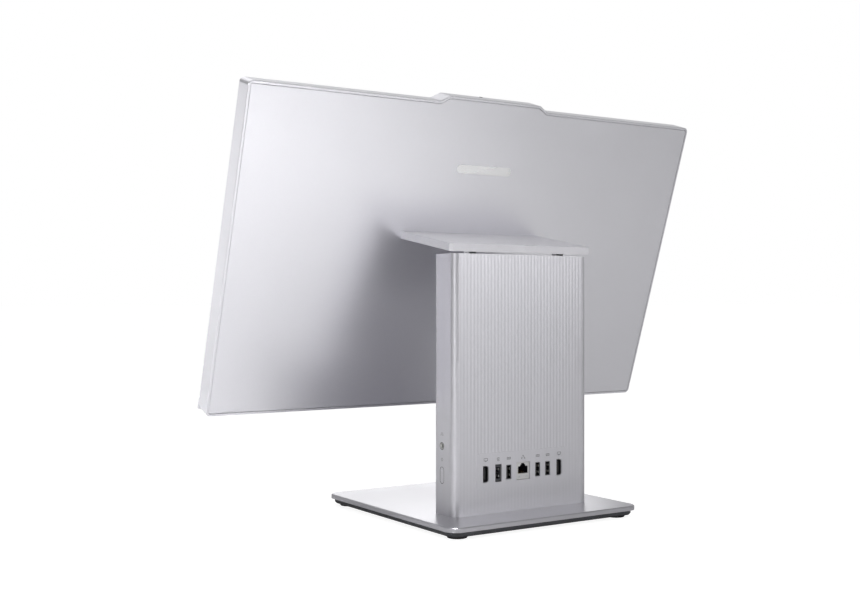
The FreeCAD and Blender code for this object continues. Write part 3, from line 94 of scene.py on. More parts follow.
def rear_surface(y):
    """A frame for drawing on a surface at depth y that looks backwards."""
    return facing(Vector((0, y, 0)), -SIDE, UPRIGHT)


def side_surface(x):
    """A frame for drawing on a surface at x that looks sideways."""
    return facing(Vector((x, 0, 0)), REARWARD, UPRIGHT)


def on_display(x, up, back):
    """A point given across, up the panel from its lower edge and back from its rear face."""
    return SIDE * x + UP * (DISPLAY_LOW + up) + BACK * (DISPLAY_REAR + back)


# ---------------------------------------------------------------- material building blocks
class Shader:
    """A material with its Principled shader, and short ways to feed it."""

    def __init__(self, name, colour, roughness, metallic=0.0, **sockets):
        self.material = bpy.data.materials.new(name)
        self.material.use_nodes = True
        self.nodes = self.material.node_tree.nodes
        self.links = self.material.node_tree.links
        self.bsdf = self.nodes["Principled BSDF"]
        self.colour = colour
        self.set("Base Color", (*colour, 1))
        self.set("Roughness", roughness)
        self.set("Metallic", metallic)
        for socket, value in sockets.items():
            self.set(socket.replace("_", " "), value)
        self.position = self.add("ShaderNodeTexCoord").outputs["Object"]
        self.last_normal = None

    def set(self, socket, value):
        self.bsdf.inputs[socket].default_value = value

    def add(self, kind, **values):
        node = self.nodes.new(kind)
        for key, value in values.items():
            setattr(node, key, value)
        return node

    def link(self, output, target):
        self.links.new(output, target)

    def stretched(self, scale):
        """Object position scaled along each axis, in turns per metre."""
        mapping = self.add("ShaderNodeMapping")
        mapping.inputs["Scale"].default_value = scale
        self.link(self.position, mapping.inputs["Vector"])
        return mapping.outputs["Vector"]

    def noise(self, scale, detail=2.0, rough=0.5):
        node = self.add("ShaderNodeTexNoise")
        node.inputs["Scale"].default_value = 1.0
        node.inputs["Detail"].default_value = detail
        node.inputs["Roughness"].default_value = rough
        self.link(self.stretched(scale), node.inputs["Vector"])
        return node.outputs["Fac"]

    def cells(self, scale, output="Distance"):
        node = self.add("ShaderNodeTexVoronoi")
        node.inputs["Scale"].default_value = 1.0
        self.link(self.stretched(scale), node.inputs["Vector"])
        return node.outputs[output]

    def coordinate(self, axis):
        split = self.add("ShaderNodeSeparateXYZ")
        self.link(self.position, split.inputs["Vector"])
        return split.outputs[axis]

    def span(self, value, low, high, start=0.0, end=1.0):
        node = self.add("ShaderNodeMapRange")
        node.inputs["From Min"].default_value = start
        node.inputs["From Max"].default_value = end
        node.inputs["To Min"].default_value = low
        node.inputs["To Max"].default_value = high
        self.link(value, node.inputs["Value"])
        return node.outputs["Result"]

    def maths(self, operation, a, b):
        node = self.add("ShaderNodeMath", operation=operation)
        for slot, value in zip(node.inputs, (a, b)):
            if isinstance(value, (int, float)):
                slot.default_value = value
            else:
                self.link(value, slot)
        return node.outputs["Value"]

    def blended(self, a, share, b):
        """share of a and the rest of b."""
        return self.maths("ADD", self.maths("MULTIPLY", a, share), self.maths("MULTIPLY", b, 1 - share))

    def vary_roughness(self, value, low, high, start=0.3, end=0.7):
        self.link(self.span(value, low, high, start, end), self.bsdf.inputs["Roughness"])

    def ramp(self, value, first, last, start, end):
        ramp = self.add("ShaderNodeValToRGB")
        for element, place, colour in zip(ramp.color_ramp.elements, (start, end), (first, last)):
            element.position = place
            element.color = (*colour, 1)
        self.link(value, ramp.inputs["Fac"])
        return ramp.outputs["Color"]

    def vary_colour(self, value, dark, light, start=0.3, end=0.7):
        """Between two multiples of the base colour, following value."""
        first = [c * dark for c in self.colour]
        last = [min(1.0, c * light) for c in self.colour]
        self.link(self.ramp(value, first, last, start, end), self.bsdf.inputs["Base Color"])

    def bump(self, value, height, strength=1.0):
        node = self.add("ShaderNodeBump")
        node.inputs["Strength"].default_value = strength
        node.inputs["Distance"].default_value = height
        self.link(value, node.inputs["Height"])
        if self.last_normal is not None:
            self.link(self.last_normal, node.inputs["Normal"])
        self.last_normal = node.outputs["Normal"]
        self.link(self.last_normal, self.bsdf.inputs["Normal"])


def even(scale):
    return (scale, scale, scale)


# ---------------------------------------------------------------- materials
def satin_silver(name, colour, roughness, metallic):
    """Satin metallic paint: fine flakes, soft orange peel, slow drifts of tone and light handling marks."""
    s = Shader(name, colour, roughness, metallic, Coat_Weight=0.05, Coat_Roughness=0.35)
    drift = s.noise(even(4), 3.0)
    s.vary_colour(s.blended(s.cells(even(5200), "Color"), 0.35, drift), 0.965, 1.03)
    s.vary_roughness(s.blended(s.noise((14, 14, 40), 4.0), 0.4, drift), roughness - 0.03, roughness + 0.04)
    s.bump(s.noise(even(420), 3.0), 10 * MICRON)
    s.bump(s.noise(even(3800), 2.0), 6 * MICRON)
    return s.material


def anodised_silver(name, colour, roughness, metallic):
    """Anodised aluminium, faintly drawn along the height of the profile."""
    s = Shader(name, colour, roughness, metallic)
    lines = s.noise((900, 900, 14), 3.0, 0.6)
    s.vary_colour(s.blended(lines, 0.5, s.noise((5, 5, 3), 2.0)), 0.955, 1.04)
    s.vary_roughness(lines, roughness - 0.05, roughness + 0.06)
    s.bump(lines, 5 * MICRON)
    s.bump(s.noise(even(3000), 2.0), 5 * MICRON)
    return s.material


def moulded_plastic(name, colour, roughness=0.55, grain=2600, depth=20 * MICRON):
    """Moulded plastic with a fine spark-eroded grain."""
    s = Shader(name, colour, roughness, 0.0, Specular_IOR_Level=0.4)
    s.vary_colour(s.noise(even(60), 3.0), 0.86, 1.16)
    s.vary_roughness(s.noise(even(900), 2.0), roughness - 0.07, roughness + 0.09)
    s.bump(s.cells(even(grain)), depth, 0.6)
    return s.material


def rubber(name):
    """Matt black rubber with a fine uneven skin."""
    s = Shader(name, (0.022, 0.022, 0.023), 0.82, 0.0, Specular_IOR_Level=0.25)
    s.vary_colour(s.noise(even(160), 4.0), 0.8, 1.4)
    s.vary_roughness(s.noise(even(700), 2.0), 0.72, 0.9)
    s.bump(s.noise(even(2200), 3.0), 40 * MICRON, 0.7)
    return s.material


def drawn_metal(name, colour, roughness=0.30, along=(40, 2200, 2200)):
    """Plated or bare metal with fine drawing lines along one axis."""
    s = Shader(name, colour, roughness, 1.0)
    lines = s.noise(along, 4.0, 0.6)
    s.vary_colour(s.blended(lines, 0.7, s.noise(even(90), 3.0)), 0.84, 1.1)
    s.vary_roughness(lines, roughness - 0.09, roughness + 0.12)
    s.bump(lines, 8 * MICRON)
    return s.material


def socket_metal(name, mouth_y, plating):
    """Plated steel at the mouth; further in, all turns near-black and non-metallic: partly the black moulding
    of the insert, partly painted shade on the metal walls deep in the socket.
    """
    s = Shader(name, plating, 0.34, 1.0)
    # Painted shade: more than half a millimetre behind the mouth, the lip mask turns everything near-black,
    # metal walls included.
    lip = s.span(s.coordinate("Y"), 0.0, 1.0, mouth_y - 0.5 * MM, mouth_y - 0.2 * MM)
    s.link(s.ramp(lip, (0.010, 0.010, 0.012), plating, 0.35, 0.65), s.bsdf.inputs["Base Color"])
    s.link(lip, s.bsdf.inputs["Metallic"])
    s.vary_roughness(s.noise((2200, 60, 2200), 3.0), 0.26, 0.42)
    s.bump(s.noise(even(2600), 2.0), 8 * MICRON)
    return s.material


def circuit_board(name):
    """Green solder mask over copper tracks."""
    green = (0.014, 0.085, 0.045)
    s = Shader(name, green, 0.32, 0.0, Coat_Weight=0.25, Coat_Roughness=0.15)
    tracks = s.add("ShaderNodeTexBrick", offset=0.5, squash=1.0)
    settings = {"Scale": 1.0, "Mortar Size": 0.09, "Brick Width": 1.6, "Row Height": 0.5,
                "Color1": (*green, 1), "Color2": (0.018, 0.11, 0.06, 1), "Mortar": (0.05, 0.21, 0.10, 1)}
    for socket, value in settings.items():
        tracks.inputs[socket].default_value = value
    s.link(s.stretched((260, 900, 260)), tracks.inputs["Vector"])
    s.link(tracks.outputs["Color"], s.bsdf.inputs["Base Color"])
    s.bump(tracks.outputs["Fac"], 20 * MICRON, 0.5)
    s.bump(s.noise(even(1500)), 8 * MICRON)
    return s.material


def screen_glass(name):
    """The switched-off panel behind an anti-glare surface."""
    s = Shader(name, (0.010, 0.011, 0.014), 0.16, 0.0, Specular_IOR_Level=0.5)
    s.vary_colour(s.noise((2, 2, 2), 2.0), 0.85, 1.2)
    s.vary_roughness(s.noise(even(900), 2.0), 0.15, 0.24)
    s.bump(s.cells(even(6000)), 6 * MICRON, 0.5)
    return s.material


def light_guide(name):
    """Milky plastic with the fine dots that spread the light."""
    s = Shader(name, (0.82, 0.84, 0.86), 0.2, 0.0, Transmission_Weight=0.2)
    s.vary_colour(s.cells(even(260)), 0.94, 1.02)
    s.vary_roughness(s.noise(even(400)), 0.16, 0.28)
    s.bump(s.cells(even(520)), 10 * MICRON, 0.5)
    return s.material


def printed_ink(name, colour):
    """Screen-printed ink, slightly uneven."""
    s = Shader(name, colour, 0.6, 0.0)
    s.vary_colour(s.noise(even(2500), 3.0), 0.85, 1.2)
    s.vary_roughness(s.noise(even(1500)), 0.52, 0.68)
    s.bump(s.noise(even(5000)), 6 * MICRON)
    return s.material


def clear_lens(name):
    """Dark coated glass."""
    s = Shader(name, (0.02, 0.022, 0.035), 0.05, 0.0, Coat_Weight=1.0, Coat_Roughness=0.03)
    s.vary_colour(s.cells(even(900)), 0.6, 1.6)
    s.vary_roughness(s.noise(even(1200)), 0.03, 0.09)
    s.bump(s.noise(even(1500)), 2 * MICRON)
    return s.material


def lamp_window(name, colour, glow):
    """A milky window that glows faintly, or not at all."""
    s = Shader(name, colour, 0.3, 0.0, Emission_Color=(*colour, 1), Emission_Strength=glow)
    s.vary_colour(s.noise(even(1800), 2.0), 0.8, 1.15)
    s.vary_roughness(s.noise(even(2400)), 0.24, 0.4)
    s.bump(s.cells(even(2600)), 8 * MICRON, 0.5)
    return s.material


MATERIALS = {
    "display_silver": satin_silver("display_silver", (0.86, 0.855, 0.90), 0.33, 0.9),
    "column_silver": anodised_silver("column_silver", (0.58, 0.575, 0.61), 0.38, 0.85),
    "base_silver": satin_silver("base_silver", (0.45, 0.445, 0.475), 0.34, 0.8),
    "dark_plastic": moulded_plastic("dark_plastic", (0.045, 0.046, 0.052)),
    "foot_rubber": rubber("foot_rubber"),
    "steel": drawn_metal("steel", (0.56, 0.56, 0.57)),
    "socket_metal": drawn_metal("socket_metal", (0.55, 0.55, 0.54), 0.32, (2200, 60, 2200)),
    "circuit_board": circuit_board("circuit_board"),
    "chip_black": moulded_plastic("chip_black", (0.03, 0.03, 0.034), 0.42, 3600, 10 * MICRON),
    "standoff_brass": drawn_metal("standoff_brass", (0.72, 0.50, 0.20), 0.25),
    "copper": drawn_metal("copper", (0.80, 0.38, 0.22), 0.28),
    "fin_aluminium": drawn_metal("fin_aluminium", (0.78, 0.78, 0.80), 0.34, (40, 40, 1800)),
    "cable_white": moulded_plastic("cable_white", (0.70, 0.70, 0.68), 0.45, 1500, 10 * MICRON),
    "badge_metal": satin_silver("badge_metal", (0.97, 0.97, 0.985), 0.28, 0.9),
    "bezel_black": moulded_plastic("bezel_black", (0.011, 0.011, 0.013), 0.48, 3000, 10 * MICRON),
    "screen_glass": screen_glass("screen_glass"),
    "light_guide": light_guide("light_guide"),
}
COVER_SILVER = satin_silver("cover_silver", (0.73, 0.725, 0.76), 0.60, 0.6)
SOCKET_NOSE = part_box("data_socket_1")[1].y
DARK_SOCKET = socket_metal("dark_socket", SOCKET_NOSE, (0.20, 0.20, 0.21))
BRIGHT_SOCKET = socket_metal("bright_socket", SOCKET_NOSE, (0.58, 0.58, 0.58))
INLET_GREY = moulded_plastic("inlet_grey", (0.09, 0.09, 0.098), 0.45)
INK = printed_ink("printed_ink", (0.11, 0.11, 0.12))
GOLD = drawn_metal("gold_contact", (0.83, 0.60, 0.26), 0.24, (300, 3000, 3000))
LENS = clear_lens("camera_lens")
WHITE_LAMP = lamp_window("white_lamp", (0.80, 0.82, 0.84), 0.15)
CLEAR_LAMP = lamp_window("clear_lamp", (0.50, 0.52, 0.52), 0.0)
WOVEN = moulded_plastic("woven_mesh", (0.018, 0.018, 0.020), 0.6, 1800, 20 * MICRON)

OWN_MATERIAL = {name: DARK_SOCKET for name in NODES if name.startswith(("data_socket", "video_socket"))}
OWN_MATERIAL["network_socket"] = BRIGHT_SOCKET
OWN_MATERIAL["tray_top_cover"] = COVER_SILVER
for part in frame["record"]["subparts"]:
    node = NODES[part["node"]]
    node.data.materials.clear()
    node.data.materials.append(OWN_MATERIAL.get(part["node"], MATERIALS[part["material_slot"]]))


# ---------------------------------------------------------------- mesh building blocks
class Piece:
    """One named piece, drawn in the frame `place` and riding on a body, with its slot's look or one given."""

    def __init__(self, name, body, slot, place=Matrix.Identity(4), material=None):
        self.name, self.body, self.slot_name, self.place = name, body, slot, place
        self.material = material or MATERIALS[slot]
        self.mesh = bmesh.new()

    def prism(self, outline, low, high):
        """A closed block from an outline in X and Y, from Z low to high."""
        bottom = [self.mesh.verts.new((x, y, low)) for x, y in outline]
        top = [self.mesh.verts.new((x, y, high)) for x, y in outline]
        self.mesh.faces.new(list(reversed(bottom)))
        self.mesh.faces.new(top)
        count = len(outline)
        for k in range(count):
            self.mesh.faces.new((bottom[k], bottom[(k + 1) % count], top[(k + 1) % count], top[k]))

    def bar(self, start, end, width, low, high):
        """A straight stroke with square ends."""
        start, end = Vector(start), Vector(end)
        along = (end - start).normalized()
        across = Vector((-along.y, along.x)) * width / 2
        self.prism([start - across, end - across, end + across, start + across], low, high)

    def outline_box(self, x0, x1, y0, y1, width, low, high):
        """Four strokes round a rectangle."""
        half = width / 2
        self.bar((x0 - half, y0), (x1 + half, y0), width, low, high)
        self.bar((x0 - half, y1), (x1 + half, y1), width, low, high)
        self.bar((x0, y0 + half), (x0, y1 - half), width, low, high)
        self.bar((x1, y0 + half), (x1, y1 - half), width, low, high)

    def arc(self, middle, radius, width, first, last, low, high, steps=20):
        """A curved stroke from a first to a last angle in degrees; a whole turn closes on itself."""
        whole = abs(last - first) >= 360
        rings = []
        for k in range(steps if whole else steps + 1):
            angle = math.radians(first + (last - first) * k / steps)
            spoke = Vector((math.cos(angle), math.sin(angle)))
            inner = Vector(middle) + spoke * (radius - width / 2)
            outer = Vector(middle) + spoke * (radius + width / 2)
            rings.append([self.mesh.verts.new((*point, z)) for point, z in
                          ((inner, low), (outer, low), (outer, high), (inner, high))])
        self.loft(rings, whole)

    def loft(self, rings, closed):
        """Joins rings of equal length; open ends are capped."""
        count = len(rings[0])
        pairs = list(zip(rings, rings[1:] + rings[:1])) if closed else list(zip(rings, rings[1:]))
        for a, b in pairs:
            for k in range(count):
                self.mesh.faces.new((a[k], a[(k + 1) % count], b[(k + 1) % count], b[k]))
        if not closed:
            self.mesh.faces.new(list(reversed(rings[0])))
            self.mesh.faces.new(rings[-1])

    def ring_of(self, inner, outer, low, high):
        """A flat closed band between two outlines with equally many points."""
        rings = [[self.mesh.verts.new((*point, z)) for point, z in ((a, low), (b, low), (b, high), (a, high))]
                 for a, b in zip(inner, outer)]
        self.loft(rings, True)

    def turned(self, middle, profile, steps=40):
        """A turned shape about Z from (radius, height) pairs; a radius of zero closes the end."""
        angles = [2 * math.pi * k / steps for k in range(steps)]
        spokes = [(math.cos(angle), math.sin(angle)) for angle in angles]
        rows = []
        for radius, height in profile:
            if radius == 0:
                rows.append([self.mesh.verts.new((middle[0], middle[1], height))])
            else:
                rows.append([self.mesh.verts.new((middle[0] + c * radius, middle[1] + s * radius, height))
                             for c, s in spokes])
        for a, b in zip(rows, rows[1:]):
            for k in range(steps):
                corner = [a[k % len(a)], a[(k + 1) % len(a)], b[(k + 1) % len(b)], b[k % len(b)]]
                self.mesh.faces.new(list(dict.fromkeys(corner)))

    def tube(self, points, radius, steps=8):
        """A round wire through points."""
        points = [Vector(p) for p in points]
        angles = [2 * math.pi * k / steps for k in range(steps)]
        rings = []
        for k, point in enumerate(points):
            along = (points[min(k + 1, len(points) - 1)] - points[max(k - 1, 0)]).normalized()
            first = along.orthogonal().normalized()
            second = along.cross(first)
            rings.append([self.mesh.verts.new(point + (first * math.cos(a) + second * math.sin(a)) * radius)
                          for a in angles])
        self.loft(rings, False)

    def finish(self, smooth=False, bevel=0.0):
        """Makes the object from what was drawn, with its edges rounded off by bevel."""
        bmesh.ops.recalc_face_normals(self.mesh, faces=self.mesh.faces)
        mesh = bpy.data.meshes.new(self.name)
        self.mesh.to_mesh(mesh)
        self.mesh.free()
        mesh.transform(self.place)
        mesh.materials.append(self.material)
        made = bpy.data.objects.new(self.name, mesh)
        bpy.context.scene.collection.objects.link(made)
        if bevel:
            edge = made.modifiers.new("edges", "BEVEL")
            edge.width = bevel
            edge.segments = 2
            edge.limit_method = "ANGLE"
        for face in mesh.polygons:
            face.use_smooth = smooth
        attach(made, self.body)
        return made


def pill_outline(x, y, width, length, steps=12):
    """A round-ended outline, long along Y."""
    radius, reach = width / 2, (length - width) / 2
    points = []
    for start, end in ((0, y + reach), (math.pi, y - reach)):
        for k in range(steps + 1):
            angle = start + math.pi * k / steps
            points.append((x + radius * math.cos(angle), end + radius * math.sin(angle)))
    return points


def row(count, pitch):
    """Evenly spaced places about zero."""
    return [(k - (count - 1) / 2) * pitch for k in range(count)]


def in_mm(profile):
    """A profile of (radius, height) pairs given in mm, turned into metres."""
    return [(radius * MM, height * MM) for radius, height in profile]


def behind_nose(node, wall, direction, profile):
    """An outline in X and Y from (height off the wall, depth behind the socket's nose) pairs in mm."""
    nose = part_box(node)[1].y
    return [(wall + direction * rise * MM, nose - depth * MM) for rise, depth in profile]


# ---------------------------------------------------------------- printed icons
INK_LOW = -0.01 * MM
INK_HIGH = 0.03 * MM
STROKE = 0.44 * MM
SIDE_STROKE = 0.36 * MM
PIN_STROKE = 0.34 * MM
THIN_STROKE = 0.3 * MM
SOCKET_ICON_RISE = 13.4 * MM
HEADSET_ICON_RISE = 11.2 * MM
POWER_ICON_RISE = 15.0 * MM


def monitor_icon(piece, x, y):
    """A screen on a short neck with a foot."""
    half, screen_low, screen_high = 2.1 * MM, y - 0.5 * MM, y + 1.6 * MM
    neck_high, neck_low = y - 0.65 * MM, y - 1.15 * MM
    foot, foot_half = y - 1.3 * MM, 1.1 * MM
    piece.outline_box(x - half, x + half, screen_low, screen_high, STROKE, INK_LOW, INK_HIGH)
    piece.bar((x, neck_high), (x, neck_low), STROKE, INK_LOW, INK_HIGH)
    piece.bar((x - foot_half, foot), (x + foot_half, foot), STROKE, INK_LOW, INK_HIGH)


def plug_icon(piece, x, y):
    """An open ring round a dot: the centre-pin power socket."""
    radius, dot = 1.5 * MM, 0.55 * MM
    first, last = 20, 340
    piece.arc((x, y), radius, STROKE, first, last, INK_LOW, INK_HIGH)
    piece.turned((x, y), [(0, INK_LOW), (dot, INK_LOW), (dot, INK_HIGH), (0, INK_HIGH)], 16)


def data_icon(piece, x, y):
    """A plug's end: an outline with four contacts."""
    half, rise = 2.0 * MM, 0.9 * MM
    pin_pitch, pin_half = 0.8 * MM, 0.35 * MM
    piece.outline_box(x - half, x + half, y - rise, y + rise, STROKE, INK_LOW, INK_HIGH)
    for across in row(4, pin_pitch):
        piece.bar((x + across, y - pin_half), (x + across, y + pin_half), PIN_STROKE, INK_LOW, INK_HIGH)


def network_icon(piece, x, y):
    """Three boxes joined by lines."""
    reach, rise, stem = 1.8 * MM, 1.3 * MM, 0.7 * MM
    half, half_height = 0.55 * MM, 0.45 * MM
    bus, bus_half = y - THIN_STROKE / 2, reach + THIN_STROKE / 2
    for dx, dy in ((0, rise), (-reach, -rise), (reach, -rise)):
        left, right = x + dx - half, x + dx + half
        lower, upper = y + dy - half_height, y + dy + half_height
        piece.outline_box(left, right, lower, upper, THIN_STROKE, INK_LOW, INK_HIGH)
    piece.bar((x, y + stem), (x, y), THIN_STROKE, INK_LOW, INK_HIGH)
    piece.bar((x - bus_half, bus), (x + bus_half, bus), THIN_STROKE, INK_LOW, INK_HIGH)
    for end in (x - reach, x + reach):
        piece.bar((end, y - THIN_STROKE), (end, y - stem), THIN_STROKE, INK_LOW, INK_HIGH)


def headset_icon(piece, x, y):
    """A headband with a pad at each end."""
    radius, pad_drop, pad_width, pad_length = 1.5 * MM, 0.6 * MM, 0.8 * MM, 1.6 * MM
    piece.arc((x, y), radius, SIDE_STROKE, 0, 180, INK_LOW, INK_HIGH)
    for end in (x - radius, x + radius):
        piece.prism(pill_outline(end, y - pad_drop, pad_width, pad_length, 6), INK_LOW, INK_HIGH)


def power_icon(piece, x, y):
    """A ring open at the top, with a bar in the gap."""
    radius, bar_low, bar_high = 1.4 * MM, y + 0.2 * MM, y + 1.9 * MM
    first, last = 120, 420
    piece.arc((x, y), radius, SIDE_STROKE, first, last, INK_LOW, INK_HIGH)
    piece.bar((x, bar_low), (x, bar_high), SIDE_STROKE, INK_LOW, INK_HIGH)


def icons():
    """Icons over the rear sockets, and over the jack and the button on the column's side."""
    piece = Piece("socket_icons", "stand", "bezel_black", rear_surface(COLUMN_HIGH.y), INK)
    drawings = {"video_socket_a": monitor_icon, "video_socket_b": monitor_icon, "dc_inlet": plug_icon,
                "data_socket_1": data_icon, "data_socket_2": data_icon, "data_socket_3": data_icon,
                "network_socket": network_icon}
    for node, draw in drawings.items():
        middle = centre(node)
        draw(piece, -middle.x, middle.z + SOCKET_ICON_RISE)
    piece.finish()
    piece = Piece("side_icons", "stand", "bezel_black", side_surface(COLUMN_HIGH.x), INK)
    jack, button = centre("audio_jack"), centre("power_button")
    headset_icon(piece, button.y, jack.z + HEADSET_ICON_RISE)
    power_icon(piece, button.y, button.z + POWER_ICON_RISE)
    piece.finish()


# ---------------------------------------------------------------- inside the sockets
DATA_SOCKETS = ("data_socket_1", "data_socket_2", "data_socket_3")
VIDEO_SOCKETS = ("video_socket_a", "video_socket_b")


def data_contacts():
    """Four flat contacts on the tongue of each data socket."""
    piece = Piece("data_contacts", "stand", "standoff_brass", material=GOLD)
    half, pitch, tongue = 0.5 * MM, 2.5 * MM, 0.2 * MM
    profile = ((-0.12, 9.5), (0.05, 9.5), (0.05, 1.9), (-0.12, 2.3))
    for node in DATA_SOCKETS:
        middle = centre(node)
        outline = behind_nose(node, middle.x + tongue, 1, profile)
        for along in row(4, pitch):
            piece.prism(outline, middle.z + along - half, middle.z + along + half)
    piece.finish(bevel=0.03 * MM)


def data_springs():
    """Two sprung tabs on a long wall of each data socket, which hold the plug."""
    piece = Piece("data_springs", "stand", "socket_metal")
    half, offset, wall = 0.9 * MM, 3.0 * MM, -2.55 * MM
    profile = ((-0.02, 7.0), (0.18, 7.0), (0.62, 3.4), (0.18, 1.4), (-0.02, 1.2))
    for node in DATA_SOCKETS:
        middle = centre(node)
        outline = behind_nose(node, middle.x + wall, 1, profile)
        for z in (middle.z - offset, middle.z + offset):
            piece.prism(outline, z - half, z + half)
    piece.finish(bevel=0.05 * MM)


def video_contacts():
    """Ten contacts on one face of each video socket's tongue and nine on the other."""
    piece = Piece("video_contacts", "stand", "standoff_brass", material=GOLD)
    half, pitch = 0.22 * MM, 1.0 * MM
    profile = ((-0.08, 9), (0.08, 9), (0.08, 1.8), (-0.08, 1.8))
    for node in VIDEO_SOCKETS:
        middle = centre(node)
        for face, count in ((-0.5 * MM, 10), (1.0 * MM, 9)):
            outline = behind_nose(node, middle.x + face, 1, profile)
            for along in row(count, pitch):
                piece.prism(outline, middle.z + along - half, middle.z + along + half)
    piece.finish(bevel=0.02 * MM)


def network_contacts():
    """Eight sprung wires that rise from the floor of the mouth towards the back."""
    piece = Piece("network_contacts", "stand", "standoff_brass", material=GOLD)
    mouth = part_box("network_socket")[1].y
    floor = centre("network_socket").z - 2.6 * MM
    route = ((2.6, 0.25), (3.2, 0.9), (6.5, 2.1), (9.0, 2.9), (9.6, 2.7))
    for x in row(8, 1.02 * MM):
        piece.tube([(x, mouth - depth * MM, floor + rise * MM) for depth, rise in route], 0.15 * MM)
    piece.finish(smooth=True)


def network_details():
    """Lamp windows under the mouth and the lip of the metal shell."""
    low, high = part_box("network_socket")
    mouth = rear_surface(high.y)
    lamp_x, lamp_z, lamp_half, lamp_rise = 4.6 * MM, low.z + 2.6 * MM, 1.5 * MM, 0.9 * MM
    for name, x in (("network_lamp_left", -lamp_x), ("network_lamp_right", lamp_x)):
        piece = Piece(name, "stand", "light_guide", mouth, CLEAR_LAMP)
        piece.prism([(x - lamp_half, lamp_z - lamp_rise), (x + lamp_half, lamp_z - lamp_rise),
                     (x + lamp_half, lamp_z + lamp_rise), (x - lamp_half, lamp_z + lamp_rise)],
                    -0.4 * MM, 0.08 * MM)
        piece.finish(bevel=0.15 * MM)
    piece = Piece("network_shell_lip", "stand", "socket_metal", mouth)
    inset, wall = 0.25 * MM, 0.4 * MM
    half, rise, middle = (high.x - low.x) / 2 - inset, (high.z - low.z) / 2 - inset, (low.z + high.z) / 2
    piece.outline_box(-half, half, middle - rise, middle + rise, wall, -0.3 * MM, 0.18 * MM)
    piece.finish(bevel=0.1 * MM)


def inlet_contacts():
    """Four sprung contacts, two on each long wall of the power inlet."""
    piece = Piece("inlet_contacts", "stand", "steel")
    half, offset, reach = 1.1 * MM, 3.2 * MM, 2.45 * MM
    profile = ((0, 10), (0.2, 10), (0.7, 4.5), (0.25, 2.4), (0, 2.2))
    middle = centre("dc_inlet")
    for side in (-1, 1):
        outline = behind_nose("dc_inlet", middle.x + side * reach, -side, profile)
        for z in (middle.z - offset, middle.z + offset):
            piece.prism(outline, z - half, z + half)
    piece.finish(bevel=0.04 * MM)


def inlet_collar():
    """The moulded collar round the mouth of the power inlet."""
    middle, high = centre("dc_inlet"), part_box("dc_inlet")[1]
    piece = Piece("inlet_collar", "stand", "dark_plastic", rear_surface(high.y), INLET_GREY)
    half, rise, wall = 2.85 * MM, 6.2 * MM, 0.5 * MM
    piece.outline_box(-middle.x - half, -middle.x + half, middle.z - rise, middle.z + rise,
                      wall, -0.3 * MM, 0.3 * MM)
    piece.finish(bevel=0.12 * MM)


def jack_rings():
    """A turned ring round the audio jack, a near-black ring outside it as painted shade for the gap, and the
    bright funnel inside it.
    """
    ring = ((2.6, -0.6), (2.6, 0.25), (2.75, 0.42), (3.1, 0.45), (3.25, 0.3), (3.25, -0.3), (2.6, -0.6))
    # Painted shade: the near-black outer ring stands in for the shade of the gap round the jack's ring.
    shade_ring = ((3.26, -0.2), (3.26, 0.36), (3.35, 0.40), (3.72, 0.39), (3.74, 0.35), (3.58, 0.33),
            (3.58, -0.2), (3.26, -0.2))
    funnel = ((1.76, -1.6), (1.76, -1.3), (2.5, 0.1), (2.58, 0.1), (2.58, -0.2), (2.1, -1.0),
              (2.1, -1.6), (1.76, -1.6))
    middle = (centre("power_button").y, centre("audio_jack").z)
    mouth = side_surface(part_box("audio_jack")[1].x)
    for name, slot, profile, bevel in (("jack_ring", "socket_metal", ring, 0.04 * MM),
                                       ("jack_gap_shade", "bezel_black", shade_ring, 0.03 * MM),
                                       ("jack_insert", "socket_metal", funnel, 0.0)):
        piece = Piece(name, "stand", slot, mouth)
        piece.turned(middle, in_mm(profile))
        piece.finish(smooth=True, bevel=bevel)


def button_gap_shade():
    """A near-black ring set into the gap round the power button: painted shade for the gap."""
    middle = centre("power_button")
    inner = pill_outline(middle.y, middle.z, 6.08 * MM, 15.58 * MM)
    outer = pill_outline(middle.y, middle.z, 6.86 * MM, 16.36 * MM)
    # Painted shade: a near-black ring filling the gap round the button.
    piece = Piece("button_gap_shade", "stand", "bezel_black", side_surface(COLUMN_HIGH.x))
    piece.ring_of(inner, outer, -0.9 * MM, 0.03 * MM)
    piece.finish()


def button_lamp():
    """A small domed lamp near the top of the power button."""
    middle, rise = centre("power_button"), 4.4 * MM
    face = side_surface(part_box("power_button")[1].x)
    piece = Piece("button_lamp", "power_button", "light_guide", face, WHITE_LAMP)
    dome = ((0, -0.3), (0.45, -0.3), (0.45, 0.0), (0.3, 0.05), (0, 0.06))
    piece.turned((middle.y, middle.z + rise), in_mm(dome), 20)
    piece.finish(smooth=True)


# ---------------------------------------------------------------- column, base and display details
def woven_sheet(name, body, place, x0, x1, y0, y1, pitch, thread):
    """A woven screen of crossing threads; those along X lie half a thread higher."""
    piece = Piece(name, body, "dark_plastic", place, WOVEN)
    thickness = 0.6 * thread
    columns = int((x1 - x0) / pitch)
    rows = int((y1 - y0) / pitch)
    for k in range(columns + 1):
        x = x0 + (x1 - x0) * k / columns
        piece.bar((x, y0), (x, y1), thread, 0, thickness)
    for k in range(rows + 1):
        y = y0 + (y1 - y0) * k / rows
        piece.bar((x0, y), (x1, y), thread, thread / 2, thread / 2 + thickness)
    piece.finish()


def front_vent_screens():
    """Screens behind the lower and the upper air slots of the column's front panel."""
    inside = facing(Vector((0, PANEL_REAR - 0.75 * MM, 0)), SIDE, UPRIGHT)
    half, rise, pitch, thread = 68 * MM, 15 * MM, 1.1 * MM, 0.3 * MM
    for name, middle in (("lower_vent_screen", BASE_TOP + 48 * MM),
                         ("upper_vent_screen", COLUMN_HIGH.z - 56 * MM)):
        woven_sheet(name, "stand", inside, -half, half, middle - rise, middle + rise, pitch, thread)


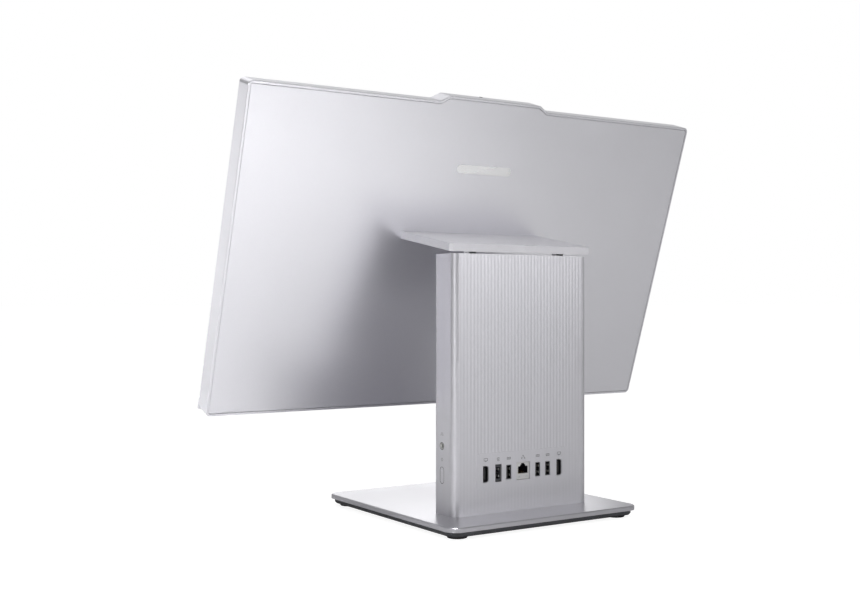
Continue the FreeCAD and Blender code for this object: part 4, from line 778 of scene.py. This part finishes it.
def feet():
    """Turned rubber feet, hollow and grooved underneath, in the plain ones' places and as tall."""
    points = coordinates("rubber_feet")
    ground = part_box("rubber_feet")[0].z
    profile = ((0, 0.5), (0.25, 0.5), (0.28, 0.0), (0.50, 0.0), (0.53, 0.45), (0.58, 0.45), (0.61, 0.0),
               (0.92, 0.0), (0.985, 0.35), (1.0, 0.9), (1.0, 3.5), (0, 3.5))
    for name, sx, sy in (("foot_front_left", -1, -1), ("foot_front_right", 1, -1),
                         ("foot_rear_left", -1, 1), ("foot_rear_right", 1, 1)):
        own = points[(points[:, 0] * sx > 0) & (points[:, 1] * sy > 0)]
        middle = (own.min(axis=0) + own.max(axis=0)) / 2
        radius = (own[:, 0].max() - own[:, 0].min()) / 2
        piece = Piece(name, "stand", "foot_rubber")
        piece.turned(middle[:2], [(share * radius, ground + height * MM) for share, height in profile], 56)
        foot = piece.finish(smooth=True, bevel=0.12 * MM)
        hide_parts("rubber_feet")


def undertray_ribs():
    """Shallow moulded ribs on the underside: a frame and nine ribs along the base."""
    underside = facing(Vector((0, 0, UNDERTRAY_LOW.z)), SIDE, -REARWARD)
    piece = Piece("undertray_ribs", "stand", "dark_plastic", underside)
    half_x, half_y = UNDERTRAY_HIGH.x - 24 * MM, UNDERTRAY_HIGH.y - 14 * MM
    root, pitch, rib_start, rib_end = -0.3 * MM, 16 * MM, -34 * MM, 92 * MM
    piece.outline_box(-half_x, half_x, -half_y, half_y, 1.2 * MM, root, 0.5 * MM)
    for x in row(9, pitch):
        piece.bar((x, rib_start), (x, rib_end), 1.0 * MM, root, 0.35 * MM)
    piece.finish(bevel=0.2 * MM)


def speaker_screens():
    """Screens inside the speaker slots under the display."""
    underside = facing(on_display(0, 0.9 * MM, 0), SIDE, BACK)
    middle = (DISPLAY_FRONT - DISPLAY_REAR) / 2
    near, far, half, pitch, thread = 122 * MM, 234 * MM, 3.6 * MM, 0.9 * MM, 0.25 * MM
    for name, x0, x1 in (("speaker_screen_left", -far, -near), ("speaker_screen_right", near, far)):
        woven_sheet(name, "display", underside, x0, x1, middle - half, middle + half, pitch, thread)


def camera_lens():
    """A domed glass lens in the camera's aperture, inside a thin bright ring."""
    points = coordinates("camera_module")
    backs = points @ np.array(BACK)
    barrel = points[backs < backs.min() + 0.1 * MM]
    up = (barrel @ np.array(UP)).mean()
    place = facing(UP * up + BACK * backs.min(), SIDE, UP)
    glass = ((0, -0.45), (1.3, -0.45), (1.3, -0.2), (0.9, -0.05), (0.4, 0.02), (0, 0.04))
    trim = ((2.05, -0.02), (2.05, 0.12), (2.2, 0.2), (2.4, 0.2), (2.5, 0.1), (2.5, -0.02), (2.05, -0.02))
    for name, slot, material, profile in (("camera_lens", "screen_glass", LENS, glass),
                                          ("camera_trim", "steel", MATERIALS["steel"], trim)):
        piece = Piece(name, "display", slot, place, material)
        piece.turned((0, 0), in_mm(profile))
        piece.finish(smooth=True)


def crossed_head(piece, x, y, radius):
    """A flat screw head whose crossed recess is the gap between four raised quarters."""
    gap, first, sweep, steps = 0.16 * radius, 12, 66, 8
    for k in range(4):
        turn = math.pi / 2 * k
        outline = [(gap, gap)]
        for j in range(steps + 1):
            angle = math.radians(first + sweep * j / steps)
            outline.append((radius * math.cos(angle), radius * math.sin(angle)))
        turned = [(x + a * math.cos(turn) - b * math.sin(turn), y + a * math.sin(turn) + b * math.cos(turn))
                  for a, b in outline]
        piece.prism(turned, 0, 0.5 * MM)
    root, face = -0.3 * MM, 0.12 * MM
    piece.turned((x, y), [(0, root), (radius, root), (radius, face), (0, face)], 28)


def tray_screws():
    """Four screws on the underside of the hinge cover, which falls towards the rear."""
    points = coordinates("tray_under_cover")
    slope = math.radians(10)
    along = Vector((0, math.cos(slope), -math.sin(slope)))
    down = Vector((0, -math.sin(slope), -math.cos(slope)))
    drawn_up = down.cross(SIDE)
    face = (points @ np.array(down)).max()
    reach = points @ np.array(along)
    offset, radius = 74 * MM, 1.7 * MM
    piece = Piece("tray_screws", "display", "steel", facing(down * face, SIDE, drawn_up))
    for x in (-offset, offset):
        for y in (reach.min() + 12 * MM, reach.max() - 9 * MM):
            crossed_head(piece, x, y * along.dot(drawn_up), radius)
    piece.finish(bevel=0.06 * MM)


def nib_grip():
    """Three ridges on the shutter's nib."""
    points = coordinates("camera_shutter")
    top = (points @ np.array(UP)).max()
    tip = points[points @ np.array(UP) > top - 0.2 * MM]
    x0, x1 = tip[:, 0].min(), tip[:, 0].max()
    backs = tip @ np.array(BACK)
    place = facing(UP * top + BACK * ((backs.min() + backs.max()) / 2), SIDE, BACK)
    count, share, width = 3, 0.9, 0.35 * MM
    reach = (backs.max() - backs.min()) / 2 * share
    piece = Piece("nib_grip", "camera_shutter", "dark_plastic", place)
    for k in range(count):
        x = x0 + (x1 - x0) * (k + 0.5) / count
        piece.bar((x, -reach), (x, reach), width, -0.2 * MM, 0.1 * MM)
    piece.finish(bevel=0.04 * MM)


icons()
data_contacts()
data_springs()
video_contacts()
network_contacts()
network_details()
inlet_contacts()
inlet_collar()
jack_rings()
button_gap_shade()
button_lamp()
front_vent_screens()
feet()
undertray_ribs()
speaker_screens()
camera_lens()
tray_screws()
nib_grip()


# ---------------------------------------------------------------- stage, light and camera
FLOOR_REACH = 40
FLOOR_PAPER = (0.92, 0.92, 0.92)
FLOOR_SEEN = (0.29, 0.29, 0.29)
FLOOR_GLOW = 0.905


def stage():
    """A wide pale floor that looks evenly lit to its horizon."""
    mesh = bpy.data.meshes.new("floor")
    maker = bmesh.new()
    bmesh.ops.create_grid(maker, x_segments=2, y_segments=2, size=FLOOR_REACH)
    maker.to_mesh(mesh)
    maker.free()
    floor = bpy.data.objects.new("floor", mesh)
    bpy.context.scene.collection.objects.link(floor)
    s = Shader("floor_paper", FLOOR_PAPER, 0.9, 0.0, Specular_IOR_Level=0.0)
    s.set("Emission Color", (1, 1, 1, 1))
    seen = s.add("ShaderNodeLightPath").outputs["Is Camera Ray"]
    s.link(s.maths("MULTIPLY", seen, FLOOR_GLOW), s.bsdf.inputs["Emission Strength"])
    s.link(s.ramp(seen, FLOOR_PAPER, FLOOR_SEEN, 0.0, 1.0), s.bsdf.inputs["Base Color"])
    mesh.materials.append(s.material)


def softbox(name, place, aim, size, power, spread=180):
    """A soft rectangular light at a place, aimed at a point, with its spread in degrees."""
    lamp = bpy.data.lights.new(name, "AREA")
    lamp.shape = "RECTANGLE"
    lamp.size, lamp.size_y = size
    lamp.energy = power
    lamp.spread = math.radians(spread)
    lit = bpy.data.objects.new(name, lamp)
    lit.location = place
    lit.visible_camera = False
    lit.rotation_mode = "QUATERNION"
    lit.rotation_quaternion = (Vector(aim) - Vector(place)).to_track_quat("-Z", "Y")
    bpy.context.scene.collection.objects.link(lit)


def sky(strength, seen):
    """Even pale surroundings; the camera sees them as plain white."""
    world = bpy.data.worlds.new("studio")
    bpy.context.scene.world = world
    world.use_nodes = True
    nodes, links = world.node_tree.nodes, world.node_tree.links
    background = nodes["Background"]
    background.inputs["Color"].default_value = (1, 1, 1, 1)
    background.inputs["Strength"].default_value = strength
    plain = nodes.new("ShaderNodeBackground")
    plain.inputs["Color"].default_value = (1, 1, 1, 1)
    plain.inputs["Strength"].default_value = seen
    path = nodes.new("ShaderNodeLightPath")
    mix = nodes.new("ShaderNodeMixShader")
    links.new(path.outputs["Is Camera Ray"], mix.inputs["Fac"])
    links.new(background.outputs["Background"], mix.inputs[1])
    links.new(plain.outputs["Background"], mix.inputs[2])
    links.new(mix.outputs["Shader"], nodes["World Output"].inputs["Surface"])


CAMERA_PLACE = (0.7017, 0.9847, 0.2168)
CAMERA_AZIMUTH = 33.1
CAMERA_LENS = 49.06
CAMERA_SHIFT = -0.0051


def camera():
    """The photograph's viewpoint: a level camera turned by CAMERA_AZIMUTH about the upright axis."""
    data = bpy.data.cameras.new("camera")
    data.sensor_width = 36
    data.lens = CAMERA_LENS
    data.shift_y = CAMERA_SHIFT
    data.clip_start = 0.05
    data.clip_end = 200
    eye = bpy.data.objects.new("camera", data)
    turn = math.radians(CAMERA_AZIMUTH)
    eye.location = CAMERA_PLACE
    eye.rotation_mode = "QUATERNION"
    eye.rotation_quaternion = Vector((-math.sin(turn), -math.cos(turn), 0)).to_track_quat("-Z", "Y")
    bpy.context.scene.collection.objects.link(eye)
    bpy.context.scene.camera = eye


stage()
sky(strength=0.34, seen=1.0)
softbox("floor_pool_wide", (0.7, 1.2, 2.4), aim=(0.6, 1.1, 0), size=(1.6, 1.6), power=4.0, spread=40)
softbox("floor_pool_near", (0.0, 1.0, 2.0), aim=(0.0, 0.95, 0), size=(0.8, 0.8), power=2.2, spread=30)
softbox("floor_pool_close", (0.5, 0.3, 1.8), aim=(0.42, 0.22, 0), size=(0.6, 0.6), power=0.8, spread=25)
softbox("floor_pool_front", (0.75, -0.85, 1.8), aim=(0.7, -0.8, 0), size=(0.8, 0.8), power=2.5, spread=40)
softbox("rear_glow", (-1.4, 2.6, 0.8), aim=(0, 0.07, 0.26), size=(1.4, 0.7), power=1.1, spread=50)
softbox("corner_glow", (2.3, 1.7, 0.5), aim=(0.08, 0.07, 0.18), size=(1.8, 0.9), power=0.9, spread=40)
softbox("front_fill", (-0.9, -2.2, 1.7), aim=(0, 0, 0.25), size=(3.6, 1.6), power=6)
softbox("top_fill", (0.1, -1.7, 2.2), aim=(0, 0, 0.3), size=(1.6, 1.0), power=4)
softbox("edge_glow", (1.1, -2.2, 0.45), aim=(0.27, 0, 0.27), size=(1.2, 1.0), power=0.36, spread=60)
softbox("base_glow", (-1.3, -2.3, 0.6), aim=(0.1, -0.05, 0), size=(1.4, 0.8), power=0.6, spread=50)
softbox("side_fill", (-2.6, 0.1, 0.75), aim=(0, 0, 0.2), size=(1.6, 1.1), power=3)
camera()
bpy.context.scene.view_settings.view_transform = "Standard"
